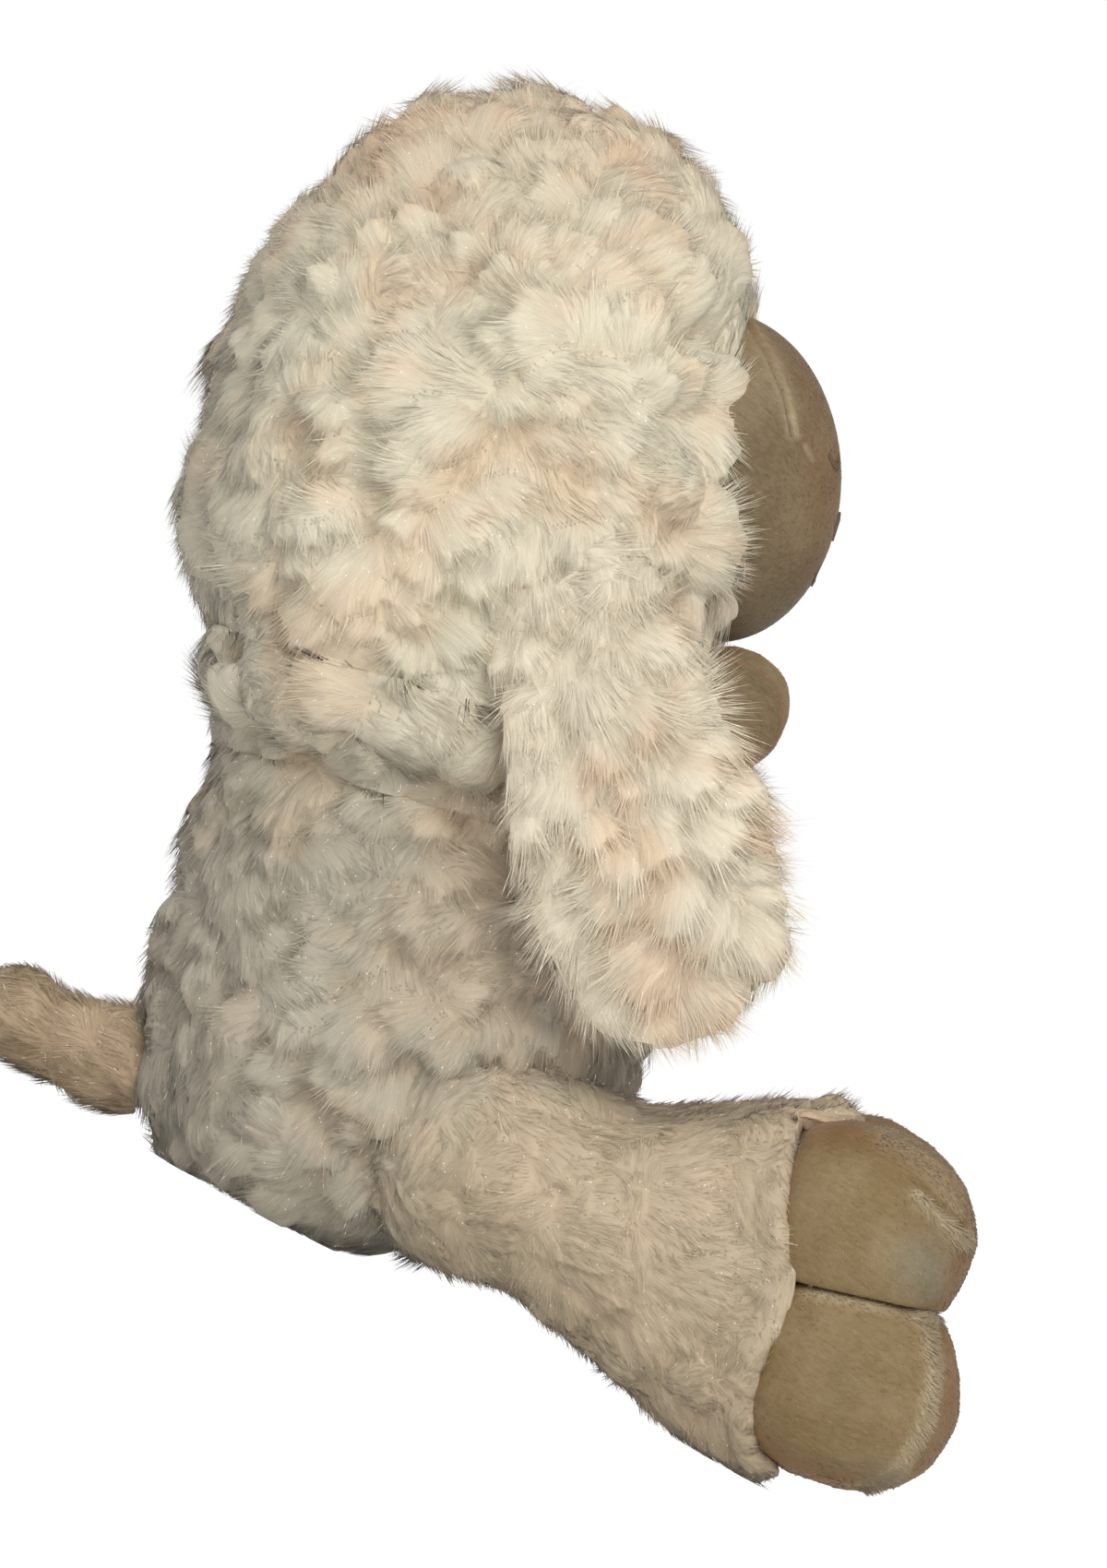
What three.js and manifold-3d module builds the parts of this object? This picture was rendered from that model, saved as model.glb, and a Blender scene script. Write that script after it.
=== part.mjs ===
// A sitting plush sheep: fur covers over stuffing, a velour face and cloven velour hooves.
// Millimetres, +Z up. The sheep looks along -Y, and its right side is at -X.
// The origin is the middle of the flat seat. "Forward" below is the distance along -Y.
import * as THREE from 'three';
import { mergeVertices } from 'three/addons/utils/BufferGeometryUtils.js';
import Module from 'manifold-3d';

const wasm = await Module();
wasm.setup();

// Cloth and seams
const furCoverThickness = 9;
const velourThickness = 3;
const seamGap = 0.3;
const floorCut = 0.5;
const cutOverrun = 400;

// Body
const bodyHeight = 165;
const bodyDepth = 172;
const bodyWidth = 156;
const neckTiltDegrees = 12;

// Head and face
const headLength = 214;
const headDepth = 189;
const headWidth = 184;
const headLeanDegrees = 28.3;
const headTurnDegrees = 10;
const faceHeight = 108;
const faceDepth = 82;
const faceWidth = 100;

// Face embroidery
const stitchWidth = 2.6;
const eyeWidth = 13;
const eyeSpacing = 32;
const noseWidth = 17;
const noseHeight = 10;
const mouthWidth = 18;
const embroideryProud = 0.8;

// Ears
const earLength = 168;
const earWidth = 86;
const earThickness = 20;
const earDropDegrees = 41;
const earLiningThickness = 2.2;
const earLiningInset = 9;
const earSink = 2;
const earDrift = -10;

// Arms
const armLength = 98;
const armThickness = 48;
const armWidth = 50;
const armSpacing = 88;
const armDrift = -18.5;
const armRaiseDegrees = 64;
const armLowerDegrees = 22;
const armToeLength = 42;
const armToeHeight = 40;
const armToeWidth = 24;
const armToeRaiseDegrees = 50;
const armToeStagger = 4;

// Legs
const legLength = 154;
const legHeight = 127;
const legWidth = 76;
const legSpacing = 92;
const legSplayDegrees = 4;
const legRaiseDegrees = 10;
const legLowerDegrees = 25;
const legToeLength = 62;
const legToeHeight = 63;
const legToeWidth = 82;
const legToeSplitTiltDegrees = 15;

// Tail
const tailLength = 66;
const tailHeight = 43;
const tailWidth = 40;
const tailFloorClearance = 1;
const tailRaiseDegrees = 30;

// Facets, as rings and sides: fine outside, coarse where nothing shows
const bodyFacets = [14, 24];
const limbFacets = [11, 16];
const earFacets = [10, 14];
const toeFacets = [7, 14];
const faceFacets = [20, 12];
const stitchFacets = 3;
const hiddenFacets = [8, 12];
const hiddenSlack = 2.4;
const buriedFacets = [5, 8];
const buriedSlack = 6;
const sharpestCornerShare = 0.6;
const headRoomSlack = 3.2;
const legSweepSteps = 3;
const sweepSteps = 2;
const padRadius = 9;
const padSides = 10;

// Where pieces sit, as shares of the sizes that they follow
const neckForwardShare = -0.075;
const neckHeightShare = 0.964;
const faceForwardShare = 0.479;
const faceUpShare = 0.415;
const eyeUpShare = 0.12;
const eyeDipShare = 0.07;
const noseUpShare = -0.3;
const mouthUpShare = -0.56;
const mouthDipShare = 0.08;
const earRootForwardShare = 0.14;
const earRootUpShare = 0.3;
const earRootSideShare = 0.985;
const earTrimShare = 3;
const shoulderForwardShare = 0.2;
const shoulderHeightShare = 0.812;
const armToeForwardShare = 0.152;
const armToeUpShare = 0.635;
const hipForwardShare = 0.32;
const hipHeightShare = 0.41;
const tailForwardShare = -0.267;
const tailPivotShare = 0.53;
const tailOpeningShare = 0.1;
const legToeSplitShares = [0.75, 0.512];
const legUpperToeShares = [0.655, 0.668];
const legLowerToeShares = [0.767, 0.27];

// How full a ring is: 2 makes an ellipse, and more squares its corners
const roundFullness = 2;
const headFullness = 2.5;
const toeFullness = 2.5;

// Outlines: each row is one ring, as [rear, rear up, front, front up, half width].
// Rear and front are shares of the depth, the ups of the height, the half width of the width.
const bodyShares = [
  [-0.151, 0, 0.157, 0, 0.282],
  [-0.240, 0.067, 0.326, 0.055, 0.397],
  [-0.337, 0.230, 0.465, 0.182, 0.474],
  [-0.390, 0.412, 0.547, 0.376, 0.500],
  [-0.430, 0.588, 0.570, 0.558, 0.487],
  [-0.442, 0.739, 0.500, 0.752, 0.449],
  [-0.459, 0.848, 0.366, 0.921, 0.410],
  [-0.465, 0.921, 0.267, 1.067, 0.391],
  [-0.477, 1.030, 0.221, 1.212, 0.372],
];
const headShares = [
  [-0.275, -0.187, 0.286, -0.215, 0.326],
  [-0.317, -0.037, 0.328, -0.056, 0.370],
  [-0.370, 0.084, 0.402, 0.075, 0.418],
  [-0.407, 0.187, 0.497, 0.187, 0.473],
  [-0.437, 0.313, 0.561, 0.313, 0.500],
  [-0.410, 0.467, 0.545, 0.467, 0.495],
  [-0.362, 0.621, 0.534, 0.621, 0.467],
  [-0.290, 0.762, 0.524, 0.762, 0.413],
  [-0.159, 0.883, 0.444, 0.883, 0.310],
  [-0.052, 0.963, 0.280, 0.963, 0.163],
  [0.114, 1.000, 0.114, 1.000, 0],
];

// Limbs: each row is [under, under up, over, over up, half width], along the limb from its ball.
const legShares = [
  [-0.247, 0.409, -0.247, 0.409, 0],
  [-0.201, 0.236, -0.201, 0.583, 0.263],
  [-0.104, 0.126, -0.123, 0.677, 0.434],
  [0.065, 0.102, 0.026, 0.709, 0.500],
  [0.221, 0.126, 0.195, 0.693, 0.500],
  [0.370, 0.087, 0.338, 0.717, 0.487],
  [0.584, 0.031, 0.468, 0.819, 0.487],
  [0.766, 0.000, 0.597, 0.929, 0.493],
  [0.900, 0.000, 0.695, 0.992, 0.487],
  [0.955, 0.040, 0.766, 1.000, 0.470],
];
const armShares = [
  [-0.224, 0, -0.224, 0, 0],
  [-0.173, 0.333, -0.173, -0.333, 0.33],
  [0, 0.500, 0, -0.500, 0.500],
  [0.255, 0.460, 0.255, -0.530, 0.500],
  [0.500, 0.420, 0.500, -0.590, 0.500],
  [0.700, 0.360, 0.700, -0.540, 0.490],
  [0.820, 0.320, 0.780, -0.460, 0.470],
];
const tailShares = [
  [-0.273, 0.535, -0.273, 0.535, 0],
  [-0.212, 0.233, -0.212, 0.814, 0.325],
  [0, 0.070, 0, 0.977, 0.475],
  [0.242, 0.000, 0.212, 0.953, 0.488],
  [0.424, 0.012, 0.470, 0.791, 0.438],
  [0.606, 0.000, 0.621, 0.860, 0.488],
  [0.803, 0.023, 0.803, 0.814, 0.450],
  [0.939, 0.163, 0.924, 0.651, 0.300],
  [1.000, 0.395, 1.000, 0.395, 0],
];
const earShares = [
  [-0.035, -0.190, 0.080, 0.400, 0.300],
  [0.116, -0.205, 0.185, 0.430, 0.375],
  [0.260, -0.250, 0.300, 0.470, 0.450],
  [0.462, -0.350, 0.480, 0.500, 0.500],
  [0.647, -0.420, 0.660, 0.510, 0.500],
  [0.809, -0.400, 0.815, 0.460, 0.475],
  [0.930, -0.290, 0.930, 0.300, 0.375],
  [1.000, -0.020, 1.000, -0.020, 0],
];
const toeShares = [
  [0.030, -0.330, 0.000, 0.360, 0.390],
  [0.130, -0.440, 0.110, 0.460, 0.470],
  [0.470, -0.500, 0.440, 0.500, 0.500],
  [0.800, -0.400, 0.770, 0.390, 0.410],
  [0.940, -0.220, 0.930, 0.200, 0.250],
  [1.000, 0.000, 1.000, 0.000, 0],
];

// Colours
const furColour = 0xe9dfcf;
const tailFurColour = 0xdfcbb0;
const velourColour = 0xb09a78;
const liningColour = 0xe3bfb4;
const threadColour = 0x7d684c;
const fillingColour = 0xf4f2ec;

const furCloth = () => new THREE.MeshStandardMaterial({ color: furColour, roughness: 0.9, metalness: 0 });
const tailCloth = () => new THREE.MeshStandardMaterial({ color: tailFurColour, roughness: 0.9, metalness: 0 });
const velour = () => new THREE.MeshStandardMaterial({ color: velourColour, roughness: 0.6, metalness: 0 });
const lining = () => new THREE.MeshStandardMaterial({ color: liningColour, roughness: 0.45, metalness: 0 });
const thread = () => new THREE.MeshStandardMaterial({ color: threadColour, roughness: 0.5, metalness: 0 });
const stuffing = () => new THREE.MeshStandardMaterial({ color: fillingColour, roughness: 1, metalness: 0 });

const radians = THREE.MathUtils.degToRad;

// A place given by its side, forward and up distances
const place = (side, forward, up) => new THREE.Vector3(side, -forward, up);

// Solids, joined and cut

function turnedOut(geometry) {
  const spots = geometry.attributes.position;
  const corners = geometry.index.array;
  const [a, b, c] = [new THREE.Vector3(), new THREE.Vector3(), new THREE.Vector3()];
  let volume = 0;
  for (let i = 0; i < corners.length; i += 3) {
    a.fromBufferAttribute(spots, corners[i]);
    b.fromBufferAttribute(spots, corners[i + 1]);
    c.fromBufferAttribute(spots, corners[i + 2]);
    volume += a.dot(b.cross(c));
  }
  if (volume < 0) {
    for (let i = 0; i < corners.length; i += 3) {
      [corners[i + 1], corners[i + 2]] = [corners[i + 2], corners[i + 1]];
    }
  }
  return geometry;
}

function bare(geometry) {
  const copy = geometry.clone();
  copy.deleteAttribute('normal');
  copy.deleteAttribute('uv');
  return turnedOut(mergeVertices(copy));
}

function solid(geometry) {
  const closed = bare(geometry);
  return new wasm.Manifold(new wasm.Mesh({
    numProp: 3,
    vertProperties: new Float32Array(closed.attributes.position.array),
    triVerts: new Uint32Array(closed.index.array),
  }));
}

// The largest body of a cut solid, without the crumbs that a cut can leave
function mainPiece(manifold) {
  return manifold.decompose().reduce((best, piece) => (piece.volume() > best.volume() ? piece : best));
}

function named(name, manifold, material) {
  const { vertProperties, triVerts } = mainPiece(manifold).getMesh();
  const geometry = new THREE.BufferGeometry();
  geometry.setAttribute('position', new THREE.BufferAttribute(new Float32Array(vertProperties), 3));
  geometry.setIndex(new THREE.BufferAttribute(new Uint32Array(triVerts), 1));
  geometry.computeVertexNormals();
  const mesh = new THREE.Mesh(geometry, material);
  mesh.name = name;
  return mesh;
}

// The same form, thicker all round by a distance, or thinner where it is negative.
// A corner moves further than a smooth spot, so that the faces beside it move by the distance.
function grown(geometry, distance) {
  const copy = bare(geometry);
  const spots = copy.attributes.position;
  const corners = copy.index.array;
  const pulls = Array.from({ length: spots.count }, () => []);
  const spot = (i) => new THREE.Vector3().fromBufferAttribute(spots, i);
  for (let i = 0; i < corners.length; i += 3) {
    const face = [0, 1, 2].map((k) => spot(corners[i + k]));
    const normal = face[1].clone().sub(face[0]).cross(face[2].clone().sub(face[0])).normalize();
    for (const k of [0, 1, 2]) {
      const [here, next, last] = [face[k], face[(k + 1) % 3], face[(k + 2) % 3]];
      const angle = next.clone().sub(here).angleTo(last.clone().sub(here));
      pulls[corners[i + k]].push({ normal, angle });
    }
  }
  pulls.forEach((faces, i) => {
    const mean = new THREE.Vector3();
    faces.forEach(({ normal, angle }) => mean.addScaledVector(normal, angle));
    mean.normalize();
    const turn = faces.reduce((sum, { angle }) => sum + angle, 0);
    const along = faces.reduce((sum, { normal, angle }) => sum + angle * mean.dot(normal), 0) / turn;
    const moved = spot(i).addScaledVector(mean, distance / Math.max(along, sharpestCornerShare));
    spots.setXYZ(i, moved.x, moved.y, moved.z);
  });
  return copy;
}

const moved = (geometry, matrix) => geometry.clone().applyMatrix4(matrix);

// A turn about a line through a point
function turnAbout(point, axis, degrees) {
  const turn = new THREE.Matrix4().makeRotationAxis(axis.clone().normalize(), radians(degrees));
  const away = new THREE.Matrix4().makeTranslation(-point.x, -point.y, -point.z);
  const back = new THREE.Matrix4().makeTranslation(point.x, point.y, point.z);
  return back.multiply(turn).multiply(away);
}

// The room that a form needs as it turns between two angles
function sweptRoom(form, slack, point, axis, [fromDegrees, toDegrees], steps) {
  const fat = grown(form, seamGap + slack);
  const stops = Array.from({ length: steps }, (_, i) => i / (steps - 1));
  return stops.map((share) => {
    const degrees = THREE.MathUtils.lerp(fromDegrees, toDegrees, share);
    return solid(moved(fat, turnAbout(point, axis, degrees)));
  }).reduce((room, turned) => room.add(turned));
}

// Half of all space: everything beyond a plane, as a block
function beyond(point, normal) {
  const block = new THREE.BoxGeometry(2 * cutOverrun, 2 * cutOverrun, cutOverrun);
  block.translate(0, 0, cutOverrun / 2);
  const turn = new THREE.Quaternion().setFromUnitVectors(new THREE.Vector3(0, 0, 1), normal.clone().normalize());
  block.applyQuaternion(turn);
  block.translate(point.x, point.y, point.z);
  return solid(block);
}

// A stuffed form: elliptical rings between two side outlines, rounded by a curve through the rows
function stuffed(shares, size, [rings, sides]) {
  const { depth, height, width, drift = 0, fullness = roundFullness } = size;
  const outline = (along, up) => new THREE.SplineCurve(
    shares.map((row) => new THREE.Vector2(row[along] * depth, row[up] * height)),
  );
  const rear = outline(0, 1);
  const front = outline(2, 3);
  const halves = new THREE.SplineCurve(
    shares.map((row, i) => new THREE.Vector2(drift * i / (shares.length - 1), row[4] * width)),
  );
  const spots = [];
  const corners = [];
  const starts = [];
  for (let i = 0; i <= rings; i += 1) {
    const share = i / rings;
    const [low, high, half] = [rear.getPoint(share), front.getPoint(share), halves.getPoint(share)];
    const middle = low.clone().add(high).divideScalar(2);
    const reach = high.clone().sub(low).divideScalar(2);
    const ends = i === 0 || i === rings;
    starts.push(spots.length / 3);
    if (ends) {
      spots.push(...place(half.x, middle.x, middle.y).toArray());
    }
    if (ends && shares[i === 0 ? 0 : shares.length - 1][4] === 0) {
      continue;
    }
    for (let j = 0; j < sides; j += 1) {
      const angle = 2 * Math.PI * j / sides;
      const [across, along] = [Math.sin(angle), Math.cos(angle)].map(
        (share) => Math.sign(share) * Math.abs(share) ** (2 / fullness),
      );
      const spot = place(half.x + half.y * across, middle.x + reach.x * along, middle.y + reach.y * along);
      spots.push(...spot.toArray());
    }
  }
  starts.push(spots.length / 3);
  const count = (i) => starts[i + 1] - starts[i];
  for (let i = 0; i <= rings; i += 1) {
    const ends = i === 0 || i === rings;
    const ring = starts[i] + (ends ? 1 : 0);
    const closes = ends && count(i) > 1;
    for (let j = 0; j < sides; j += 1) {
      const next = (j + 1) % sides;
      if (closes) {
        corners.push(starts[i], ...(i === 0 ? [ring + j, ring + next] : [ring + next, ring + j]));
      }
      if (i === rings) {
        continue;
      }
      const beyondRing = starts[i + 1] + (i + 1 === rings && count(i + 1) > 1 ? 1 : 0);
      if (count(i) === 1) {
        corners.push(starts[i], beyondRing + j, beyondRing + next);
      } else if (count(i + 1) === 1) {
        corners.push(ring + next, ring + j, starts[i + 1]);
      } else {
        corners.push(ring + j, beyondRing + j, ring + next);
        corners.push(ring + next, beyondRing + j, beyondRing + next);
      }
    }
  }
  const geometry = new THREE.BufferGeometry();
  geometry.setAttribute('position', new THREE.Float32BufferAttribute(spots, 3));
  geometry.setIndex(corners);
  return turnedOut(geometry);
}

// A turn in the side view that raises what lies forward, then a move
function sideFrame(side, forward, up, raiseDegrees) {
  const spot = place(side, forward, up);
  return new THREE.Matrix4().makeTranslation(spot.x, spot.y, spot.z)
    .multiply(new THREE.Matrix4().makeRotationX(-radians(raiseDegrees)));
}

const model = new THREE.Group();
const sidesOfSheep = { left: 1, right: -1 };
const acrossAxis = new THREE.Vector3(1, 0, 0);
const floor = beyond(place(0, 0, 0), new THREE.Vector3(0, 0, -1));

// Neck seam: one plane, where the head turns on the body
const neckPoint = place(0, neckForwardShare * bodyDepth, neckHeightShare * bodyHeight);
const neckAxis = place(0, -Math.sin(radians(neckTiltDegrees)), Math.cos(radians(neckTiltDegrees)));
const shifted = (point, axis, distance) => point.clone().addScaledVector(axis, distance);
const aboveNeck = beyond(shifted(neckPoint, neckAxis, -seamGap / 2), neckAxis);
const belowNeck = beyond(shifted(neckPoint, neckAxis, seamGap / 2), neckAxis.clone().negate());

// Head and face forms, in a frame that leans back with the head
const headFrame = sideFrame(0, -neckPoint.y, neckPoint.z, headLeanDegrees);
const headSize = { depth: headDepth, height: headLength, width: headWidth, fullness: headFullness };
const headForm = moved(stuffed(headShares, headSize, bodyFacets), headFrame);
const headInside = moved(stuffed(headShares, headSize, hiddenFacets), headFrame);
const faceCentre = place(0, faceForwardShare * headDepth, faceUpShare * headLength).applyMatrix4(headFrame);

function faceForm(inset) {
  const form = new THREE.SphereGeometry(1, ...faceFacets);
  form.rotateX(Math.PI / 2);
  form.scale(faceWidth / 2 - inset, faceDepth / 2 - inset, faceHeight / 2 - inset);
  form.applyMatrix4(new THREE.Matrix4().extractRotation(headFrame));
  form.translate(faceCentre.x, faceCentre.y, faceCentre.z);
  return form;
}

function addHead() {
  const outer = solid(headForm);
  const hollow = grown(headInside, -furCoverThickness);
  const cavity = solid(hollow);
  const faceOpening = solid(faceForm(velourThickness));
  const cover = outer.subtract(cavity).subtract(faceOpening).subtract(belowNeck);
  model.add(named('head_cover', cover, furCloth()));

  const bulge = solid(faceForm(velourThickness + seamGap));
  const core = solid(grown(hollow, -seamGap)).add(bulge);
  model.add(named('head_filling', core.subtract(belowNeck), stuffing()));

  const panel = solid(faceForm(0)).subtract(faceOpening).subtract(solid(grown(headForm, seamGap)));
  model.add(named('face_panel', panel, velour()));
}

// Face embroidery: satin stitch that stands a little proud of the velour

// A place on the face, by its shares of the half width and half height
function onFace(sideShare, upShare, lift) {
  const away = Math.sqrt(1 - sideShare ** 2 - upShare ** 2);
  const spot = place(
    sideShare * (faceWidth / 2 + lift),
    away * (faceDepth / 2 + lift),
    upShare * (faceHeight / 2 + lift),
  );
  const leaning = spot.applyMatrix4(new THREE.Matrix4().extractRotation(headFrame));
  return leaning.add(faceCentre);
}

// One satin-stitched line through places on the face
function stitched(places) {
  const path = new THREE.CatmullRomCurve3(places.map(([side, up]) => onFace(side, up, seamGap)));
  const section = new THREE.Shape();
  section.absellipse(0, 0, stitchWidth / 2, stitchWidth / 2, 0, 2 * Math.PI);
  const steps = 2 * (places.length - 1);
  const line = new THREE.ExtrudeGeometry(section, {
    steps,
    extrudePath: path,
    bevelEnabled: false,
    curveSegments: stitchFacets,
  });
  const proud = solid(faceForm(-embroideryProud - seamGap));
  return solid(line).intersect(proud).subtract(solid(faceForm(-seamGap)));
}

function addFaceEmbroidery() {
  for (const [label, side] of Object.entries(sidesOfSheep)) {
    const middle = side * eyeSpacing / faceWidth;
    const half = eyeWidth / faceWidth;
    const arc = [-1, -0.5, 0, 0.5, 1].map(
      (share) => [middle + half * share, eyeUpShare - eyeDipShare * (1 - share ** 2)],
    );
    model.add(named(`eye_${label}`, stitched(arc), thread()));
  }
  const nose = new THREE.SphereGeometry(1, ...hiddenFacets.toReversed());
  const bridge = onFace(0, noseUpShare, 0);
  nose.scale(noseWidth / 2, noseHeight / 2, noseHeight / 2);
  nose.translate(bridge.x, bridge.y, bridge.z);
  const proud = solid(faceForm(-embroideryProud - seamGap));
  const pad = solid(nose).intersect(proud).subtract(solid(faceForm(-seamGap)));
  model.add(named('nose', pad, thread()));
  const half = mouthWidth / faceWidth;
  const smile = [-1, -0.5, 0, 0.5, 1].map(
    (share) => [half * share, mouthUpShare - mouthDipShare * (1 - share ** 2)],
  );
  model.add(named('mouth', stitched(smile), thread()));
}

// Ears: a long teardrop of fur, lined on the inner side, that hangs from a seam across its root
const earSize = { depth: earLength, height: earWidth, width: earThickness, drift: earDrift };
const earRootHalf = earShares[0][4] * earThickness;
const earRoot = place(
  earRootSideShare * headWidth / 2 + earRootHalf - earSink,
  earRootForwardShare * headDepth,
  earRootUpShare * headLength,
).applyMatrix4(headFrame);

function addEar(label, side) {
  const flip = new THREE.Matrix4().makeScale(side, 1, 1);
  const frame = flip.clone().multiply(sideFrame(earRoot.x, -earRoot.y, earRoot.z, -earDropDegrees));
  const blank = stuffed(earShares, earSize, earFacets);
  const insetSize = { ...earSize, height: earWidth - 2 * earLiningInset, width: earTrimShare * earThickness };
  const liningFrame = frame.clone().multiply(new THREE.Matrix4().makeTranslation(0, -earLiningInset, 0));
  insetSize.depth = earLength - 2 * earLiningInset;
  const reach = moved(stuffed(earShares, insetSize, hiddenFacets), liningFrame);
  const outer = solid(moved(blank, frame)).subtract(solid(grown(headForm, seamGap)));
  const behindLining = (distance) => solid(moved(
    blank,
    frame.clone().multiply(new THREE.Matrix4().makeTranslation(distance, 0, 0)),
  ));
  const sheet = outer.intersect(solid(reach)).subtract(behindLining(earLiningThickness));
  const pocket = solid(grown(reach, seamGap)).subtract(behindLining(earLiningThickness + seamGap));
  model.add(named(`ear_${label}_cover`, outer.subtract(pocket), furCloth()));
  model.add(named(`ear_${label}_lining`, sheet, lining()));
}

// Toes: each hoof has two velour pads, pressed flat against each other
function legToes(frame) {
  const size = { depth: legToeLength, height: legToeHeight, width: legToeWidth, fullness: toeFullness };
  const blank = stuffed(toeShares, size, toeFacets);
  const tilt = new THREE.Matrix4().makeRotationX(-radians(legToeSplitTiltDegrees));
  const at = ([forwardShare, upShare]) => frame.clone().multiply(
    new THREE.Matrix4().makeTranslation(0, -forwardShare * legLength, upShare * legHeight),
  ).multiply(tilt);
  const splitFrame = at(legToeSplitShares);
  const splitPoint = place(0, 0, 0).applyMatrix4(splitFrame);
  const splitNormal = new THREE.Vector3(0, 0, 1).transformDirection(splitFrame);
  const upper = solid(moved(blank, at(legUpperToeShares)));
  const lower = solid(moved(blank, at(legLowerToeShares)));
  return {
    upper: upper.subtract(beyond(shifted(splitPoint, splitNormal, seamGap / 2), splitNormal.clone().negate())),
    lower: lower.subtract(beyond(shifted(splitPoint, splitNormal, -seamGap / 2), splitNormal)).subtract(floor),
    room: solid(grown(moved(blank, at(legUpperToeShares)), seamGap))
      .add(solid(grown(moved(blank, at(legLowerToeShares)), seamGap))),
  };
}

// The room that each limb takes in the body, with a close pad round the line on which it turns,
// and the room that the head takes as it turns
const limbs = [];

function addRoom(shares, size, frame, pivot, range, steps) {
  const room = (facets, slack) => sweptRoom(
    moved(stuffed(shares, size, facets), frame),
    slack,
    pivot,
    acrossAxis,
    range,
    steps,
  );
  const post = new THREE.CylinderGeometry(padRadius, padRadius, 2 * cutOverrun, padSides);
  post.rotateZ(Math.PI / 2).translate(pivot.x, pivot.y, pivot.z);
  const pad = solid(post).subtract(room(limbFacets, 0));
  limbs.push({
    cover: room(hiddenFacets, hiddenSlack).subtract(pad),
    filling: room(buriedFacets, buriedSlack).subtract(pad),
  });
}

const headTurn = [-headTurnDegrees, headTurnDegrees];
const headRoom = sweptRoom(headInside, headRoomSlack, neckPoint, neckAxis, headTurn, sweepSteps)
  .add(sweptRoom(faceForm(0), hiddenSlack, neckPoint, neckAxis, headTurn, sweepSteps));

function addLeg(label, side) {
  const flip = new THREE.Matrix4().makeScale(side, 1, 1);
  const splay = new THREE.Matrix4().makeRotationZ(radians(legSplayDegrees));
  const hip = place(side * legSpacing / 2, hipForwardShare * bodyDepth, hipHeightShare * legHeight);
  const frame = flip.clone()
    .multiply(new THREE.Matrix4().makeTranslation(legSpacing / 2, hip.y, -floorCut))
    .multiply(splay);
  const size = { depth: legLength, height: legHeight, width: legWidth };
  const form = moved(stuffed(legShares, size, limbFacets), frame);
  const inside = moved(stuffed(legShares, size, hiddenFacets), frame);
  const hollow = grown(inside, -furCoverThickness);
  const toes = legToes(frame);
  const cover = solid(form).subtract(solid(hollow));
  const core = solid(grown(hollow, -seamGap));
  model.add(named(`leg_${label}_cover`, cover.subtract(toes.room).subtract(floor), furCloth()));
  model.add(named(`leg_${label}_filling`, core.subtract(toes.room), stuffing()));
  model.add(named(`leg_${label}_upper_toe`, toes.upper, velour()));
  model.add(named(`leg_${label}_lower_toe`, toes.lower, velour()));
  addRoom(legShares, size, frame, hip, [-legRaiseDegrees, legLowerDegrees], legSweepSteps);
}

function addArm(label, side) {
  const flip = new THREE.Matrix4().makeScale(side, 1, 1);
  const shoulder = place(armSpacing / 2, shoulderForwardShare * bodyDepth, shoulderHeightShare * bodyHeight);
  const frame = flip.clone().multiply(sideFrame(shoulder.x, -shoulder.y, shoulder.z, armRaiseDegrees));
  const size = { depth: armLength, height: armThickness, width: armWidth, drift: armDrift };
  const form = moved(stuffed(armShares, size, limbFacets), frame);
  const inside = moved(stuffed(armShares, size, hiddenFacets), frame);
  const toeSize = { depth: armToeLength, height: armToeHeight, width: armToeWidth, fullness: toeFullness };
  const toeBlank = stuffed(toeShares, toeSize, toeFacets);
  const toeFrame = (outward, stagger) => flip.clone().multiply(sideFrame(
    shoulder.x + armDrift + outward * (armToeWidth + seamGap) / 2,
    armToeForwardShare * armLength - shoulder.y,
    armToeUpShare * armLength + shoulder.z + stagger,
    armToeRaiseDegrees,
  ));
  const outerForm = moved(toeBlank, toeFrame(1, 0));
  const innerForm = moved(toeBlank, toeFrame(-1, armToeStagger));
  const room = solid(grown(outerForm, seamGap)).add(solid(grown(innerForm, seamGap)));
  const hollow = grown(inside, -furCoverThickness);
  const cover = solid(form).subtract(solid(hollow));
  const core = solid(grown(hollow, -seamGap));
  model.add(named(`arm_${label}_cover`, cover.subtract(room).subtract(headRoom), furCloth()));
  model.add(named(`arm_${label}_filling`, core.subtract(room).subtract(headRoom), stuffing()));
  model.add(named(`arm_${label}_outer_toe`, solid(outerForm).subtract(headRoom), velour()));
  model.add(named(`arm_${label}_inner_toe`, solid(innerForm).subtract(headRoom), velour()));
  const pivot = new THREE.Vector3(side * shoulder.x, shoulder.y, shoulder.z);
  addRoom(armShares, size, frame, pivot, [0, armLowerDegrees], sweepSteps);
}

function addTail() {
  const frame = new THREE.Matrix4().makeTranslation(0, -tailForwardShare * bodyDepth, tailFloorClearance)
    .multiply(new THREE.Matrix4().makeScale(1, -1, 1));
  const size = { depth: tailLength, height: tailHeight, width: tailWidth };
  const form = bare(moved(stuffed(tailShares, size, limbFacets), frame));
  const inside = bare(moved(stuffed(tailShares, size, hiddenFacets), frame));
  const pivot = place(0, tailForwardShare * bodyDepth, tailFloorClearance + tailPivotShare * tailHeight);
  const hollow = grown(inside, -furCoverThickness);
  const opening = beyond(
    place(0, tailForwardShare * bodyDepth + tailOpeningShare * tailLength, 0),
    new THREE.Vector3(0, -1, 0),
  );
  const cover = solid(form).subtract(solid(hollow)).subtract(opening);
  model.add(named('tail_cover', cover, tailCloth()));
  model.add(named('tail_filling', solid(grown(hollow, -seamGap)).subtract(opening), stuffing()));
  addRoom(tailShares, size, frame, pivot, [0, tailRaiseDegrees], sweepSteps);
}

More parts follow.
